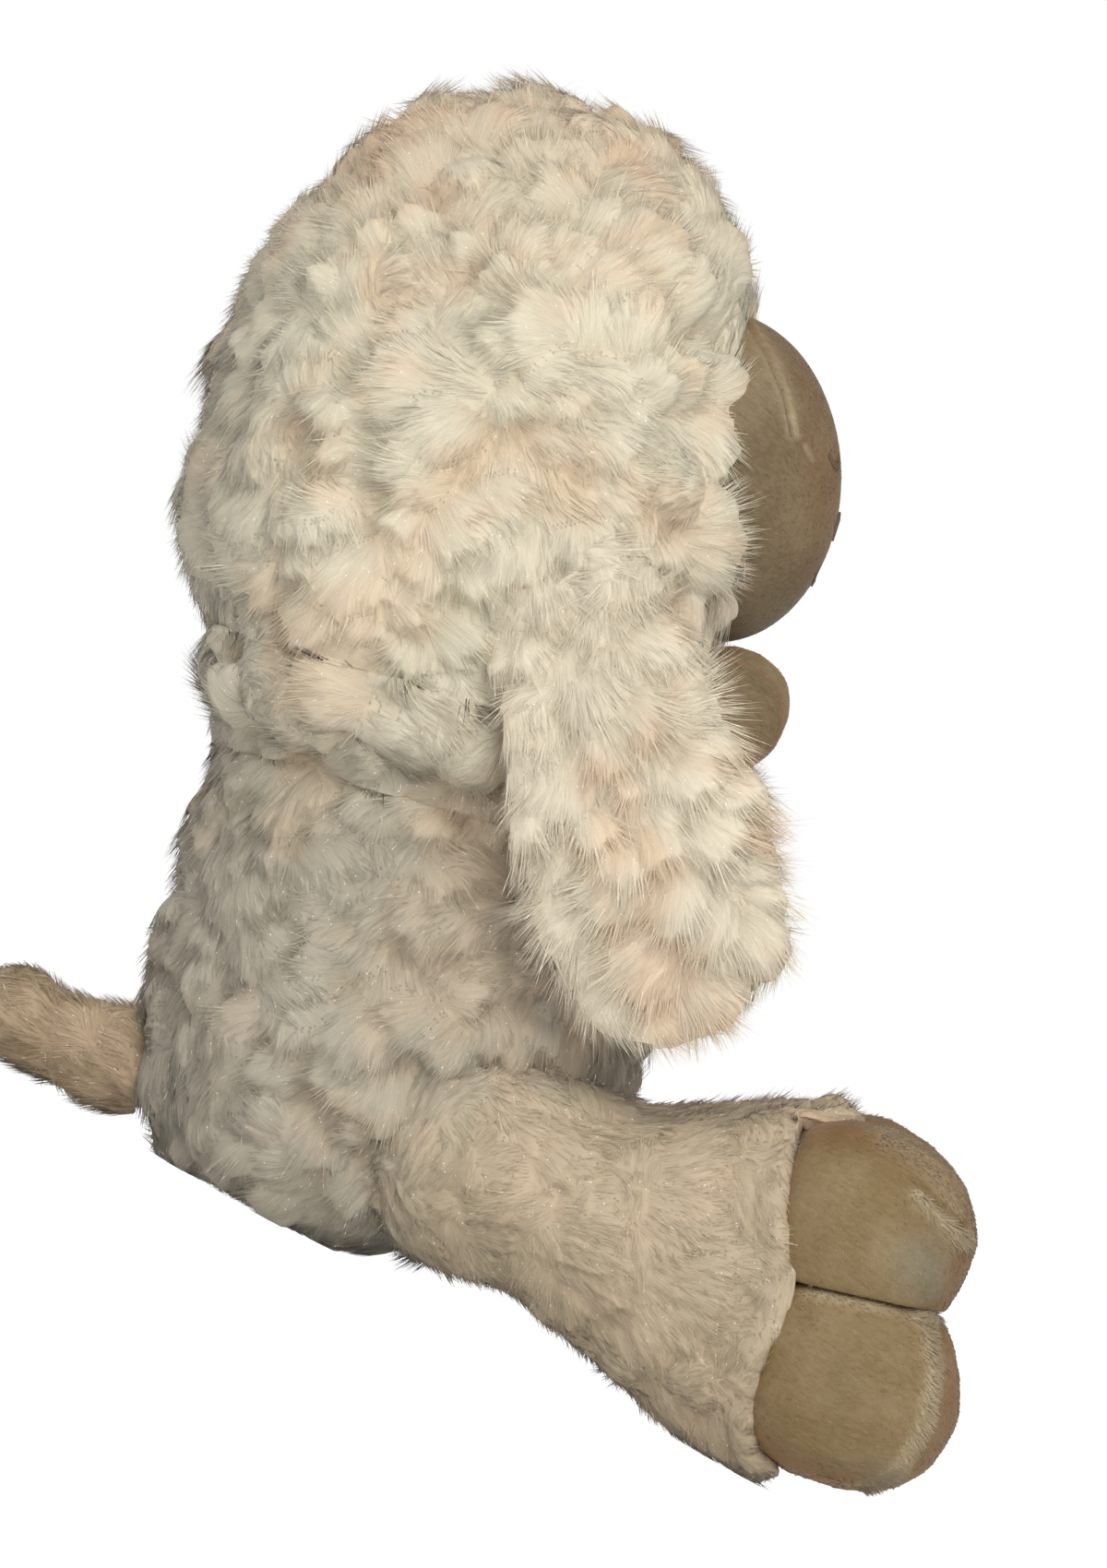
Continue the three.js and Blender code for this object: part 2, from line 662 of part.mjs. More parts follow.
function addBody() {
  const size = { depth: bodyDepth, height: bodyHeight, width: bodyWidth };
  const form = stuffed(bodyShares, size, bodyFacets).translate(0, 0, -floorCut);
  const inside = stuffed(bodyShares, size, hiddenFacets).translate(0, 0, -floorCut);
  const sockets = (part) => limbs.map((limb) => limb[part]).reduce((all, room) => all.add(room));
  const hollow = grown(inside, -furCoverThickness);
  const cover = solid(form).subtract(solid(hollow));
  const core = solid(grown(hollow, -seamGap));
  const trimmed = (piece) => piece.subtract(aboveNeck).subtract(floor);
  model.add(named('body_cover', trimmed(cover.subtract(sockets('cover'))), furCloth()));
  model.add(named('body_filling', trimmed(core.subtract(sockets('filling'))), stuffing()));
}

addHead();
addFaceEmbroidery();
for (const [label, side] of Object.entries(sidesOfSheep)) {
  addEar(label, side);
  addLeg(label, side);
  addArm(label, side);
}
addTail();
addBody();

export default model;
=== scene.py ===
"""Looks of a sitting plush sheep: combed pile over stuffed skins, velour face and hooves."""

import math

import bmesh
import bpy
import numpy as np
from mathutils import Matrix, Vector, noise
from mathutils.bvhtree import BVHTree
from mathutils.kdtree import KDTree


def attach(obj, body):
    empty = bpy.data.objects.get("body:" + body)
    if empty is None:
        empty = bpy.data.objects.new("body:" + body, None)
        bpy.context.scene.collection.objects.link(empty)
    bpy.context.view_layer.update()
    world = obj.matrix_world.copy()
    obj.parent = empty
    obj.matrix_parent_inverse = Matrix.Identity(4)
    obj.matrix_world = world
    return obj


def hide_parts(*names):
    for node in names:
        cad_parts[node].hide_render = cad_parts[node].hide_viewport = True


bl_info = {
    "name": "Plush sheep",
    "blender": (4, 5, 0),
    "version": (1, 0, 0),
    "location": "3D View > Sidebar > Sheep",
    "description": "Pile, velour, embroidery and stage of a sitting plush sheep",
    "category": "Object",
}

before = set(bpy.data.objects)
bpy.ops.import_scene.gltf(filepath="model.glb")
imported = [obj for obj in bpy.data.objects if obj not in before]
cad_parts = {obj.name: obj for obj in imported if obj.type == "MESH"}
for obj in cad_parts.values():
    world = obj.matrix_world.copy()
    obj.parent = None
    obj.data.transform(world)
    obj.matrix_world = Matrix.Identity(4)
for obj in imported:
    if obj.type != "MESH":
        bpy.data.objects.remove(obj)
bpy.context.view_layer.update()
SIDES = {"left": 1, "right": -1}
MM = 0.001

# The head leans back, and the photograph is rolled by the same angle
LEAN = math.radians(28.3)
AHEAD = Vector((0, -math.cos(LEAN), math.sin(LEAN)))
UPWARD = Vector((0, math.sin(LEAN), math.cos(LEAN)))
NECK_POINT = Vector((0, 12.9, 159.06)) * MM
NECK_AXIS = Vector((0, 0.20791, 0.97815))
FACE_CENTRE = NECK_POINT + AHEAD * 90.53 * MM + UPWARD * 88.81 * MM
FACE_HALF = Vector((50, 41, 54)) * MM
EAR_WAY = Vector((0, -0.7547, -0.6561))
EAR_ACROSS = Vector((0, -0.6561, 0.7547))

# The leg's fur ends along a slanted line: its distance ahead at one height, and its slope
HEM_AHEAD = 0.149
HEM_HEIGHT = 0.104
HEM_SLOPE = 0.4607
# Over the instep it runs on in a strip, from this height upwards
STRIP_REACH = 0.024
STRIP_LOW = 0.103
STRIP_RISE = 0.016
STRIP_INNER = 0.050
STRIP_OUTER = 0.060
INSTEP_SLOPE = 0.387
# The lowest pile rests on the floor, and strands shade mostly as their tuft does
FLOOR_GAP = 0.4 * MM
TUFT_SHADING = 0.92


# Sizes and colours


def length(name, description, default):
    return bpy.props.FloatProperty(
        name=name, description=description, default=default, min=0, subtype="DISTANCE", unit="LENGTH"
    )


def share(name, description, default):
    return bpy.props.FloatProperty(name=name, description=description, default=default, min=0, max=3)


def colour(name, description, default):
    return bpy.props.FloatVectorProperty(
        name=name, description=description, default=default, size=3, min=0, max=1, subtype="COLOR"
    )


class SheepPile(bpy.types.PropertyGroup):
    """Pile of the fur cloth"""

    head_pile: length("Head pile", "Length of the pile on the head", 0.009)
    body_pile: length("Body pile", "Length of the pile on the body", 0.008)
    ear_pile: length("Ear pile", "Length of the pile on the ears", 0.010)
    arm_pile: length("Arm pile", "Length of the pile on the arms", 0.007)
    leg_pile: length("Leg pile", "Length of the matted pile on the legs", 0.0055)
    tail_pile: length("Tail pile", "Length of the pile on the tail", 0.007)
    strand_width: length("Strand width", "Width of one lock of fibres", 0.00030)
    density: share("Density", "Multiplies the number of strands", 1.0)
    # Partly the ears' own warmer colour, partly painted light: paler than the cream, standing in for more
    # light on the ears
    bright: colour("Bright", "Colour of the ears' pile", (0.97, 0.88, 0.71))
    cream: colour("Cream", "Colour of the pile's tips", (0.91, 0.85, 0.68))
    # Painted shade: the body's pile is the head's cream made darker, for the lesser light on the body; the
    # arms wear it too
    body: colour("Body", "Colour of the body's pile", (0.645, 0.59, 0.47))
    # Painted shade: the roots of the pile and the valleys between its tufts are mixed towards this colour
    shade: colour("Shade", "Colour of the pile's roots", (0.70, 0.54, 0.37))
    peach: colour("Peach", "Warm tint on the crown and ears", (0.93, 0.71, 0.50))
    # Partly the matted pile's own warmer colour, partly painted shade: darkened for the lesser light on the
    # legs
    leg: colour("Leg", "Colour of the matted pile on the legs", (0.74, 0.60, 0.405))
    # Partly the tail's own warmer colour, partly painted shade: darkened for the lesser light on the tail
    tail: colour("Tail", "Colour of the tail's pile", (0.58, 0.43, 0.27))
    # Painted shade: the pile is greyed and darkened low down and towards the back, where less light falls
    back_shade: colour("Grey", "Cooler tint on the back and low down", (0.50, 0.47, 0.40))


class SheepVelour(bpy.types.PropertyGroup):
    """Velour of the face and hooves, the linings and the thread"""

    tan: colour("Tan", "Velour with its nap laid down", (0.255, 0.176, 0.075))
    # Painted shade: the tan velour made darker, for the face and the arms' toes, which lie away from the
    # light
    shaded_tan: colour("Dark", "Velour of the face", (0.158, 0.105, 0.047))
    # Painted sheen: the cooler, greyer tone that velour shows where its nap is turned against the light
    cool: colour("Cool", "Velour with its nap turned away", (0.24, 0.21, 0.15))
    pale: colour("Pale", "Velour with its nap raised", (0.60, 0.49, 0.32))
    # Painted sheen: the warm orange that velour rims seen edge-on show, as if lit along the nap
    rim_sheen: colour("Rust", "Velour seen along its nap, at the rims", (0.29, 0.15, 0.055))
    pink: colour("Pink", "Ear lining", (0.62, 0.42, 0.37))
    thread: colour("Thread", "Embroidery thread", (0.17, 0.11, 0.06))
    fuzz: length("Fuzz", "Length of the raised nap at seams", 0.0022)


class SheepStage(bpy.types.PropertyGroup):
    """Camera distance and light"""

    distance: length("Camera distance", "From the camera to the sheep's middle plane", 3.75)
    light: share("Light", "Multiplies the lamps", 1.0)


# Node trees


class Wire:
    """A node's output that takes part in sums as a number or vector would."""

    def __init__(self, tree, socket):
        self.tree, self.socket = tree, socket

    def sum_with(self, operation, other, swap=False):
        pair = [other, self] if swap else [self, other]
        vector = any(isinstance(x, Wire) and x.socket.type == "VECTOR" for x in pair)
        vector = vector or any(isinstance(x, (tuple, Vector)) for x in pair)
        if vector and operation == "MULTIPLY" and not all(self.is_vector(x) for x in pair):
            factor, body = sorted(pair, key=self.is_vector)
            return self.tree.wire(
                "ShaderNodeVectorMath", {"operation": "SCALE"}, {0: body, "Scale": factor}
            )
        kind = "ShaderNodeVectorMath" if vector else "ShaderNodeMath"
        return self.tree.wire(kind, {"operation": operation}, {0: pair[0], 1: pair[1]})

    @staticmethod
    def is_vector(x):
        return isinstance(x, (tuple, Vector)) or isinstance(x, Wire) and x.socket.type == "VECTOR"

    def __add__(self, other):
        return self.sum_with("ADD", other)

    def __radd__(self, other):
        return self.sum_with("ADD", other, True)

    def __sub__(self, other):
        return self.sum_with("SUBTRACT", other)

    def __rsub__(self, other):
        return self.sum_with("SUBTRACT", other, True)

    def __mul__(self, other):
        return self.sum_with("MULTIPLY", other)

    def __rmul__(self, other):
        return self.sum_with("MULTIPLY", other, True)

    def __truediv__(self, other):
        return self.sum_with("DIVIDE", other)

    def __rtruediv__(self, other):
        return self.sum_with("DIVIDE", other, True)

    def dot(self, other):
        settings = {"operation": "DOT_PRODUCT"}
        return self.tree.wire("ShaderNodeVectorMath", settings, {0: self, 1: other}, "Value")

    def unit(self):
        return self.tree.wire("ShaderNodeVectorMath", {"operation": "NORMALIZE"}, {0: self})

    def within(self, low, high, to_low=0.0, to_high=1.0):
        """This value's place between low and high, smoothly, as a share."""
        return self.tree.wire(
            "ShaderNodeMapRange",
            {"interpolation_type": "SMOOTHSTEP"},
            {"Value": self, "From Min": low, "From Max": high, "To Min": to_low, "To Max": to_high},
        )


class Tree:
    """Makes nodes with their settings first, then their values and links."""

    def __init__(self, tree):
        self.tree = tree

    def node(self, kind, settings=None, inputs=None):
        made = self.tree.nodes.new(kind)
        for key, value in (settings or {}).items():
            setattr(made, key, value)
        for key, value in (inputs or {}).items():
            if isinstance(value, Wire):
                self.tree.links.new(value.socket, made.inputs[key])
            else:
                made.inputs[key].default_value = value
        return made

    def wire(self, kind, settings=None, inputs=None, output=0):
        return Wire(self, self.node(kind, settings, inputs).outputs[output])

    def mix(self, factor, low, high):
        """A colour between two colours."""
        settings = {"data_type": "RGBA"}
        pair = [x if isinstance(x, Wire) else (*x, 1) for x in (low, high)]
        return self.wire("ShaderNodeMix", settings, {0: factor, 6: pair[0], 7: pair[1]}, 2)

    def attribute(self, name, output="Fac"):
        """A value kept on the surface, for a material."""
        return self.wire("ShaderNodeAttribute", {"attribute_name": name}, None, output)

    def place(self):
        """The surface point in the object's own metres."""
        return self.wire("ShaderNodeTexCoord", None, None, "Object")

    def random(self, low, high, seed, vector=False):
        if vector:
            inputs = {0: (low,) * 3, 1: (high,) * 3, "Seed": seed}
            return self.wire("FunctionNodeRandomValue", {"data_type": "FLOAT_VECTOR"}, inputs, 0)
        inputs = {2: low, 3: high, "Seed": seed}
        return self.wire("FunctionNodeRandomValue", {"data_type": "FLOAT"}, inputs, 1)

    def named(self, name, kind="FLOAT_VECTOR"):
        return self.wire("GeometryNodeInputNamedAttribute", {"data_type": kind}, {"Name": name})

    def store(self, geometry, name, value, kind="FLOAT", domain="POINT"):
        settings = {"data_type": kind, "domain": domain}
        inputs = {"Geometry": geometry, "Name": name, "Value": value}
        return self.wire("GeometryNodeStoreNamedAttribute", settings, inputs)


# Pile: strands in clumps, laid along the skin's comb direction

PILE_INPUTS = [
    ("Skin", "NodeSocketGeometry", None),
    ("Strand", "NodeSocketObject", None),
    ("Strands per area", "NodeSocketFloat", 600000.0),
    ("Lock distance", "NodeSocketFloat", 0.004),
    ("Width", "NodeSocketFloat", 0.0003),
    ("Lift low", "NodeSocketFloat", 0.1),
    ("Lift high", "NodeSocketFloat", 0.5),
    ("Frizz", "NodeSocketFloat", 0.1),
    ("Seed", "NodeSocketInt", 1),
    ("Skin material", "NodeSocketMaterial", None),
    ("Pile material", "NodeSocketMaterial", None),
]


def pile_tree():
    group = bpy.data.node_groups.get("Pile") or bpy.data.node_groups.new("Pile", "GeometryNodeTree")
    if group.nodes:
        return group
    for name, kind, default in PILE_INPUTS:
        socket = group.interface.new_socket(name, in_out="INPUT", socket_type=kind)
        if default is not None:
            socket.default_value = default
    group.interface.new_socket("Coat", in_out="OUTPUT", socket_type="NodeSocketGeometry")
    tree = Tree(group)
    given = tree.node("NodeGroupInput")
    value = {name: Wire(tree, given.outputs[name]) for name, _, _ in PILE_INPUTS}

    def sown(method, inputs):
        inputs = {"Mesh": value["Skin"], **inputs}
        kind = "GeometryNodeDistributePointsOnFaces"
        return tree.wire(kind, {"distribute_method": method}, inputs, "Points")

    inputs = {"Distance Min": value["Lock distance"], "Density Max": 400000.0, "Seed": value["Seed"] + 3}
    locks = sown("POISSON", inputs)
    density = value["Strands per area"] * tree.named("growth", "FLOAT")
    roots = sown("RANDOM", {"Density": density, "Seed": value["Seed"] + 7})
    place = tree.wire("GeometryNodeInputPosition")
    inputs = {"Geometry": locks, "Sample Position": place + tree.random(-0.001, 0.001, 12, True)}
    nearest = tree.wire("GeometryNodeSampleNearest", None, inputs)

    def of_lock(field, kind):
        inputs = {"Geometry": locks, "Value": field, "Index": nearest}
        return tree.wire("GeometryNodeSampleIndex", {"data_type": kind}, inputs)

    lock_middle = of_lock(place, "FLOAT_VECTOR")
    lock_toss = of_lock(tree.random(-1.0, 1.0, 13, True), "FLOAT_VECTOR")
    lock_share = of_lock(tree.random(0.0, 1.0, 14), "FLOAT")

    upright = tree.named("upright")
    way = tree.named("comb") + lock_toss * 0.22
    way = (way - upright * way.dot(upright)).unit()
    rise = tree.named("rise", "FLOAT") * (value["Lift high"] - value["Lift low"]) + value["Lift low"]
    rise = rise + lock_share * 0.15
    lead = (way + upright * rise + tree.random(-1.0, 1.0, 8, True) * value["Frizz"]).unit()
    turn = tree.wire(
        "FunctionNodeAxesToRotation",
        {"primary_axis": "Z", "secondary_axis": "X"},
        {"Primary Axis": lead, "Secondary Axis": upright},
    )
    tone = tree.random(0.0, 1.0, 10)
    # The brightest few carry a glint and are stouter
    width = value["Width"] * (tone * 0.4 + 0.8 + tone.within(0.975, 0.978) * 0.9)
    stretch = tree.named("pile", "FLOAT") * (tree.named("crest", "FLOAT") * 0.45 + 0.7)
    stretch = stretch * (lock_share * 0.35 + 0.8) * tree.random(0.75, 1.1, 9)
    scale = tree.wire("ShaderNodeCombineXYZ", None, {"X": width, "Y": width, "Z": stretch})
    strand = tree.wire("GeometryNodeObjectInfo", None, {"Object": value["Strand"]}, "Geometry")
    inputs = {"Points": roots, "Instance": strand, "Rotation": turn, "Scale": scale}
    strands = tree.wire("GeometryNodeInstanceOnPoints", None, inputs)
    strands = tree.store(strands, "tone", tone, "FLOAT", "INSTANCE")
    swell = tree.named("relief") + (place - lock_middle) * 60.0
    strands = tree.store(strands, "swell", swell, "FLOAT_VECTOR", "INSTANCE")
    strands = tree.wire("GeometryNodeRealizeInstances", None, {"Geometry": strands})
    inputs = {"Geometry": strands, "Material": value["Pile material"]}
    strands = tree.wire("GeometryNodeSetMaterial", None, inputs)
    inputs = {"Geometry": value["Skin"], "Material": value["Skin material"]}
    skin = tree.wire("GeometryNodeSetMaterial", None, inputs)
    join = tree.node("GeometryNodeJoinGeometry")
    group.links.new(strands.socket, join.inputs[0])
    group.links.new(skin.socket, join.inputs[0])
    out = tree.node("NodeGroupOutput")
    group.links.new(join.outputs[0], out.inputs[0])
    return group


STRAND_SPOTS = 4


def strand_object():
    """A closed three-sided lock, one unit long, that narrows to a point."""
    spots = [(math.cos(a), math.sin(a), 0) for a in (math.pi, math.pi / 3, -math.pi / 3)]
    spots.append((0, 0, 1))
    faces = [(0, 1, 2), *(((i + 1) % 3, i, 3) for i in range(3))]
    mesh = bpy.data.meshes.new("strand")
    mesh.from_pydata(spots, [], faces)
    along = [spot[2] for spot in spots]
    mesh.attributes.new("along", "FLOAT", "POINT").data.foreach_set("value", along)
    rounded(mesh)
    return linked("strand", mesh)


def soft_normals(mesh, share):
    """Turns the strands' normals towards their tuft's rounded form, so that the pile shades softly."""
    own = normals(mesh)
    swell = np.zeros(len(own) * 3, np.float32)
    mesh.attributes["swell"].data.foreach_get("vector", swell)
    swell = swell.reshape(-1, 3).astype(float)
    on_strand = np.nonzero(np.abs(swell).sum(1) > 0)[0]
    strands = on_strand.reshape(-1, STRAND_SPOTS)
    places = coords(mesh)[strands]
    lead = places[:, 3] - places[:, 0]
    lead /= np.maximum(np.linalg.norm(lead, axis=1), 1e-9)[:, None]
    along = np.array([0, 0, 0, 1.0])
    wanted = swell[strands]
    wanted = wanted / np.maximum(np.linalg.norm(wanted, axis=2), 1e-9)[:, :, None]
    wanted = wanted + lead[:, None, :] * ((along - 0.6) * 0.5)[None, :, None]
    mixed = wanted * share + own[strands] * (1 - share)
    mixed /= np.maximum(np.linalg.norm(mixed, axis=2), 1e-9)[:, :, None]
    own[strands] = mixed
    mesh.normals_split_custom_set_from_vertices(own.tolist())


def evaluated_mesh(obj):
    return bpy.data.meshes.new_from_object(obj.evaluated_get(bpy.context.evaluated_depsgraph_get()))


def dropped(*objects):
    for obj in objects:
        bpy.data.objects.remove(obj)


def linked(name, data):
    made = bpy.data.objects.new(name, data)
    bpy.context.scene.collection.objects.link(made)
    return made


def coords(mesh):
    flat = np.zeros(len(mesh.vertices) * 3, np.float32)
    mesh.vertices.foreach_get("co", flat)
    return flat.reshape(-1, 3).astype(float)


def normals(mesh):
    flat = np.zeros(len(mesh.vertices) * 3, np.float32)
    mesh.vertex_normals.foreach_get("vector", flat)
    return flat.reshape(-1, 3).astype(float)


def put(mesh, places):
    mesh.vertices.foreach_set("co", places.astype(np.float32).ravel())
    mesh.update()


def rounded(mesh):
    for polygon in mesh.polygons:
        polygon.use_smooth = True


def smoothly(values, low, high):
    t = np.clip((values - low) / (high - low), 0, 1)
    return t * t * (3 - 2 * t)


# Skins: the stuffed forms that the pile grows from


def joined(nodes):
    """The closed CAD solids of some nodes, welded, as one mesh."""
    made = bmesh.new()
    for node in nodes:
        made.from_mesh(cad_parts[node].data)
    bmesh.ops.remove_doubles(made, verts=made.verts, dist=1e-5)
    return made


def remeshed(name, made, voxel, rounds):
    mesh = bpy.data.meshes.new(name)
    made.to_mesh(mesh)
    made.free()
    obj = linked(name, mesh)
    remesh = obj.modifiers.new("remesh", "REMESH")
    remesh.mode = "VOXEL"
    remesh.voxel_size = voxel
    smooth = obj.modifiers.new("smooth", "SMOOTH")
    smooth.iterations = rounds
    smooth.factor = 0.5
    final = evaluated_mesh(obj)
    dropped(obj)
    return final


def outer_only(mesh):
    """Drops closed shells that lie inside the largest one."""
    made = bmesh.new()
    made.from_mesh(mesh)
    left = set(made.verts)
    groups = []
    while left:
        todo = [left.pop()]
        group = set(todo)
        while todo:
            for edge in todo.pop().link_edges:
                for vert in edge.verts:
                    if vert in left:
                        left.discard(vert)
                        group.add(vert)
                        todo.append(vert)
        groups.append(group)
    groups.sort(key=len)
    for group in groups[:-1]:
        bmesh.ops.delete(made, geom=list(group), context="VERTS")
    made.to_mesh(mesh)
    made.free()


SKINS = {
    "head": (["head_cover"], True, 4.3, 9.5),
    "body": (["body_cover"], True, 4.3, 9),
    "tail": (["tail_cover", "tail_filling"], False, 2.5, 4.5),
}
for _side in SIDES:
    SKINS[f"ear_{_side}"] = ([f"ear_{_side}_cover", f"ear_{_side}_lining"], False, 3, 4)
    SKINS[f"arm_{_side}"] = ([f"arm_{_side}_cover", f"arm_{_side}_filling"], False, 3, 5.5)
    SKINS[f"leg_{_side}"] = ([f"leg_{_side}_cover", f"leg_{_side}_filling"], False, 4, 4)
TOES = {"leg": ("upper_toe", "lower_toe"), "arm": ("outer_toe", "inner_toe")}
made_skins = {}


def skin(name):
    """The skin under one body's pile: its CAD form, drawn in by the height of the pile."""
    if name in made_skins:
        return made_skins[name]
    nodes, convex, voxel, inset = SKINS[name]
    made = joined(nodes)
    if convex:
        hull = bmesh.ops.convex_hull(made, input=made.verts)
        spare = set(hull["geom_interior"] + hull["geom_unused"] + hull["geom_holes"])
        bmesh.ops.delete(made, geom=[g for g in spare if isinstance(g, bmesh.types.BMVert)], context="VERTS")
    mesh = remeshed(name, made, voxel * MM, 8 if convex else 4)
    outer_only(mesh)
    places, out = coords(mesh), normals(mesh)
    depth = np.full(len(places), inset * MM)
    if name in ("head", "body"):
        # Both skins stay whole at the neck seam, where they meet
        height = (places - np.array(NECK_POINT)) @ np.array(NECK_AXIS)
        depth *= smoothly(np.abs(height), 3 * MM, 16 * MM)
    if name == "head":
        # The nape is drawn in where the head meets the body
        nape = np.linalg.norm(places[:, 1:] - np.array([98, 142]) * MM, axis=1)
        depth += 9 * MM * np.exp(-((nape / (20 * MM)) ** 2))
    for toe in TOES.get(name[:3], ()):
        # The cloth is sewn to the toes, so there it isn't drawn in
        search = BVHTree.FromBMesh(joined([f"{name}_{toe}"]))
        gap = np.array([search.find_nearest(Vector(place))[3] for place in places])
        depth *= smoothly(gap, 1.5 * MM, 9 * MM)
    if name.startswith("ear"):
        # A thin flap keeps two fifths of its thickness, so its two sides never cross
        depth = np.minimum(depth, 0.3 * thicknesses(places, out, mesh))
    if name.startswith("leg"):
        # The root sinks towards the body's skin
        depth += 5 * MM * np.exp(-((gaps(places, skin("body")) / (13 * MM)) ** 2))
    places = places - out * depth[:, None]
    if name.startswith("leg"):
        # The fur ends along one line behind both toes, and runs a little farther over the instep
        over = -places[:, 1] - (HEM_AHEAD + (HEM_HEIGHT - places[:, 2]) * HEM_SLOPE)
        ahead = smoothly(over, -4 * MM, 2 * MM)
        middle = 1 - smoothly(np.abs(places[:, 0]), STRIP_INNER, STRIP_OUTER)
        over -= STRIP_REACH * np.clip((places[:, 2] - STRIP_LOW) / STRIP_RISE, 0, 1) ** 2.5 * middle
        pulled = np.where(over > 0, over * 0.92, 0)
        places[:, 1] += pulled
        places[:, 2] -= INSTEP_SLOPE * pulled * smoothly(places[:, 2], 0.100, 0.112)
        border = smoothly(over, -6 * MM, 0)[:, None]
        even = np.stack([smoothed(mesh, axis, 4) for axis in places.T], 1)
        places = places * (1 - border) + even * border
        # Beyond that line the strip over the instep lies on the toe
        toe = BVHTree.FromBMesh(joined([f"{name}_upper_toe"]))
        for i in np.nonzero((ahead > 0) & (places[:, 2] > 0.095))[0]:
            hit = toe.ray_cast(Vector((places[i, 0], places[i, 1], 0.3)), Vector((0, 0, -1)))[0]
            if hit:
                top = hit.z + (2.5 if out[i, 2] > 0 else -1) * MM
                places[i, 2] += ahead[i] * (min(places[i, 2], top) - places[i, 2])
        stored(mesh, "flat", smoothly(over, -6 * MM, 1 * MM))
    if name.startswith("ear"):
        side = SIDES[name[4:]]
        # The root is gathered in towards the head, under its pile
        along = (places - places.max(0) * np.array([0, 0, 1])) @ np.array(EAR_WAY)
        along = along - along.min()
        places[:, 0] -= side * 20 * MM * (1 - smoothly(along, 0, 70 * MM))
        stored(mesh, "flat", 1 - smoothly(out[:, 0] * side, -0.5, 0.5))
    put(mesh, places)
    made_skins[name] = mesh
    return mesh


def tree_of(mesh):
    made = bmesh.new()
    made.from_mesh(mesh)
    found = BVHTree.FromBMesh(made)
    made.free()
    return found


def gaps(places, mesh):
    """Distance from each place to a mesh."""
    search = tree_of(mesh)
    return np.array([search.find_nearest(Vector(place))[3] for place in places])


def thicknesses(places, out, mesh):
    """How far a closed mesh reaches inwards from each of its places."""
    search = tree_of(mesh)
    spots = places - out * 0.05 * MM
    found = [search.ray_cast(Vector(spot), Vector(-way))[3] for spot, way in zip(spots, out)]
    return np.array([0 if reach is None else reach for reach in found])


def inside(places, mesh, margin):
    """Which places lie deeper than margin inside a closed mesh, by the hits of three rays."""
    search = tree_of(mesh)
    low, high = coords(mesh).min(0), coords(mesh).max(0)
    boxed = ((places > low) & (places < high)).all(1)
    deep = np.zeros(len(places), bool)
    for i in np.nonzero(boxed)[0]:
        votes = 0
        for ray in (Vector((1, 0.1, 0.2)), Vector((-0.3, 1, 0.1)), Vector((0.1, -0.2, 1))):
            ray.normalize()
            spot = Vector(places[i])
            hits = 0
            while hits < 20:
                hit = search.ray_cast(spot, ray)[0]
                if hit is None:
                    break
                hits += 1
                spot = hit + ray * 1e-5
            votes += hits % 2
        deep[i] = votes >= 2 and search.find_nearest(Vector(places[i]))[3] > margin
    return deep


def eddies(places, wavelength, seed):
    """Smooth noise vectors, which turn the comb into swirls."""
    # Without a seed of its own the noise would take one from the clock
    noise.seed_set(seed + 1)
    shift = Vector((seed * 3.7, seed * 1.3, seed * 2.9))
    return np.array([noise.noise_vector(Vector(p) / wavelength + shift) for p in places])


def tangent(ways, out):
    ways = ways - out * (ways * out).sum(1)[:, None]
    return ways / np.maximum(np.linalg.norm(ways, axis=1), 1e-9)[:, None]


def stored(mesh, label, values):
    """Writes one value or vector to each vertex."""
    kind, key = ("FLOAT_VECTOR", "vector") if values.ndim == 2 else ("FLOAT", "value")
    found = mesh.attributes.get(label) or mesh.attributes.new(label, kind, "POINT")
    found.data.foreach_set(key, values.astype(np.float32).ravel())


def kept(mesh, label):
    """One value for each vertex, zero where the mesh has none by this name."""
    values = np.zeros(len(mesh.vertices), np.float32)
    if label in mesh.attributes:
        mesh.attributes[label].data.foreach_get("value", values)
    return values


def smoothed(mesh, values, rounds):
    """Averages each vertex's value with its neighbours'."""
    edges = np.zeros(len(mesh.edges) * 2, np.int32)
    mesh.edges.foreach_get("vertices", edges)
    a, b = edges.reshape(-1, 2).T
    many = np.bincount(a, minlength=len(values)) + np.bincount(b, minlength=len(values))
    for _ in range(rounds):
        beside = np.bincount(a, values[b], len(values)) + np.bincount(b, values[a], len(values))
        values = (values + beside / np.maximum(many, 1)) / 2
    return values


def calm(mesh, numbers):
    """One inside each tuft, and zero where it borders on another."""
    edges = np.zeros(len(mesh.edges) * 2, np.int32)
    mesh.edges.foreach_get("vertices", edges)
    a, b = edges.reshape(-1, 2).T
    parted = np.abs(numbers[a] - numbers[b]) > 1e-5
    values = np.ones(len(numbers))
    values[a[parted]] = 0
    values[b[parted]] = 0
    return values


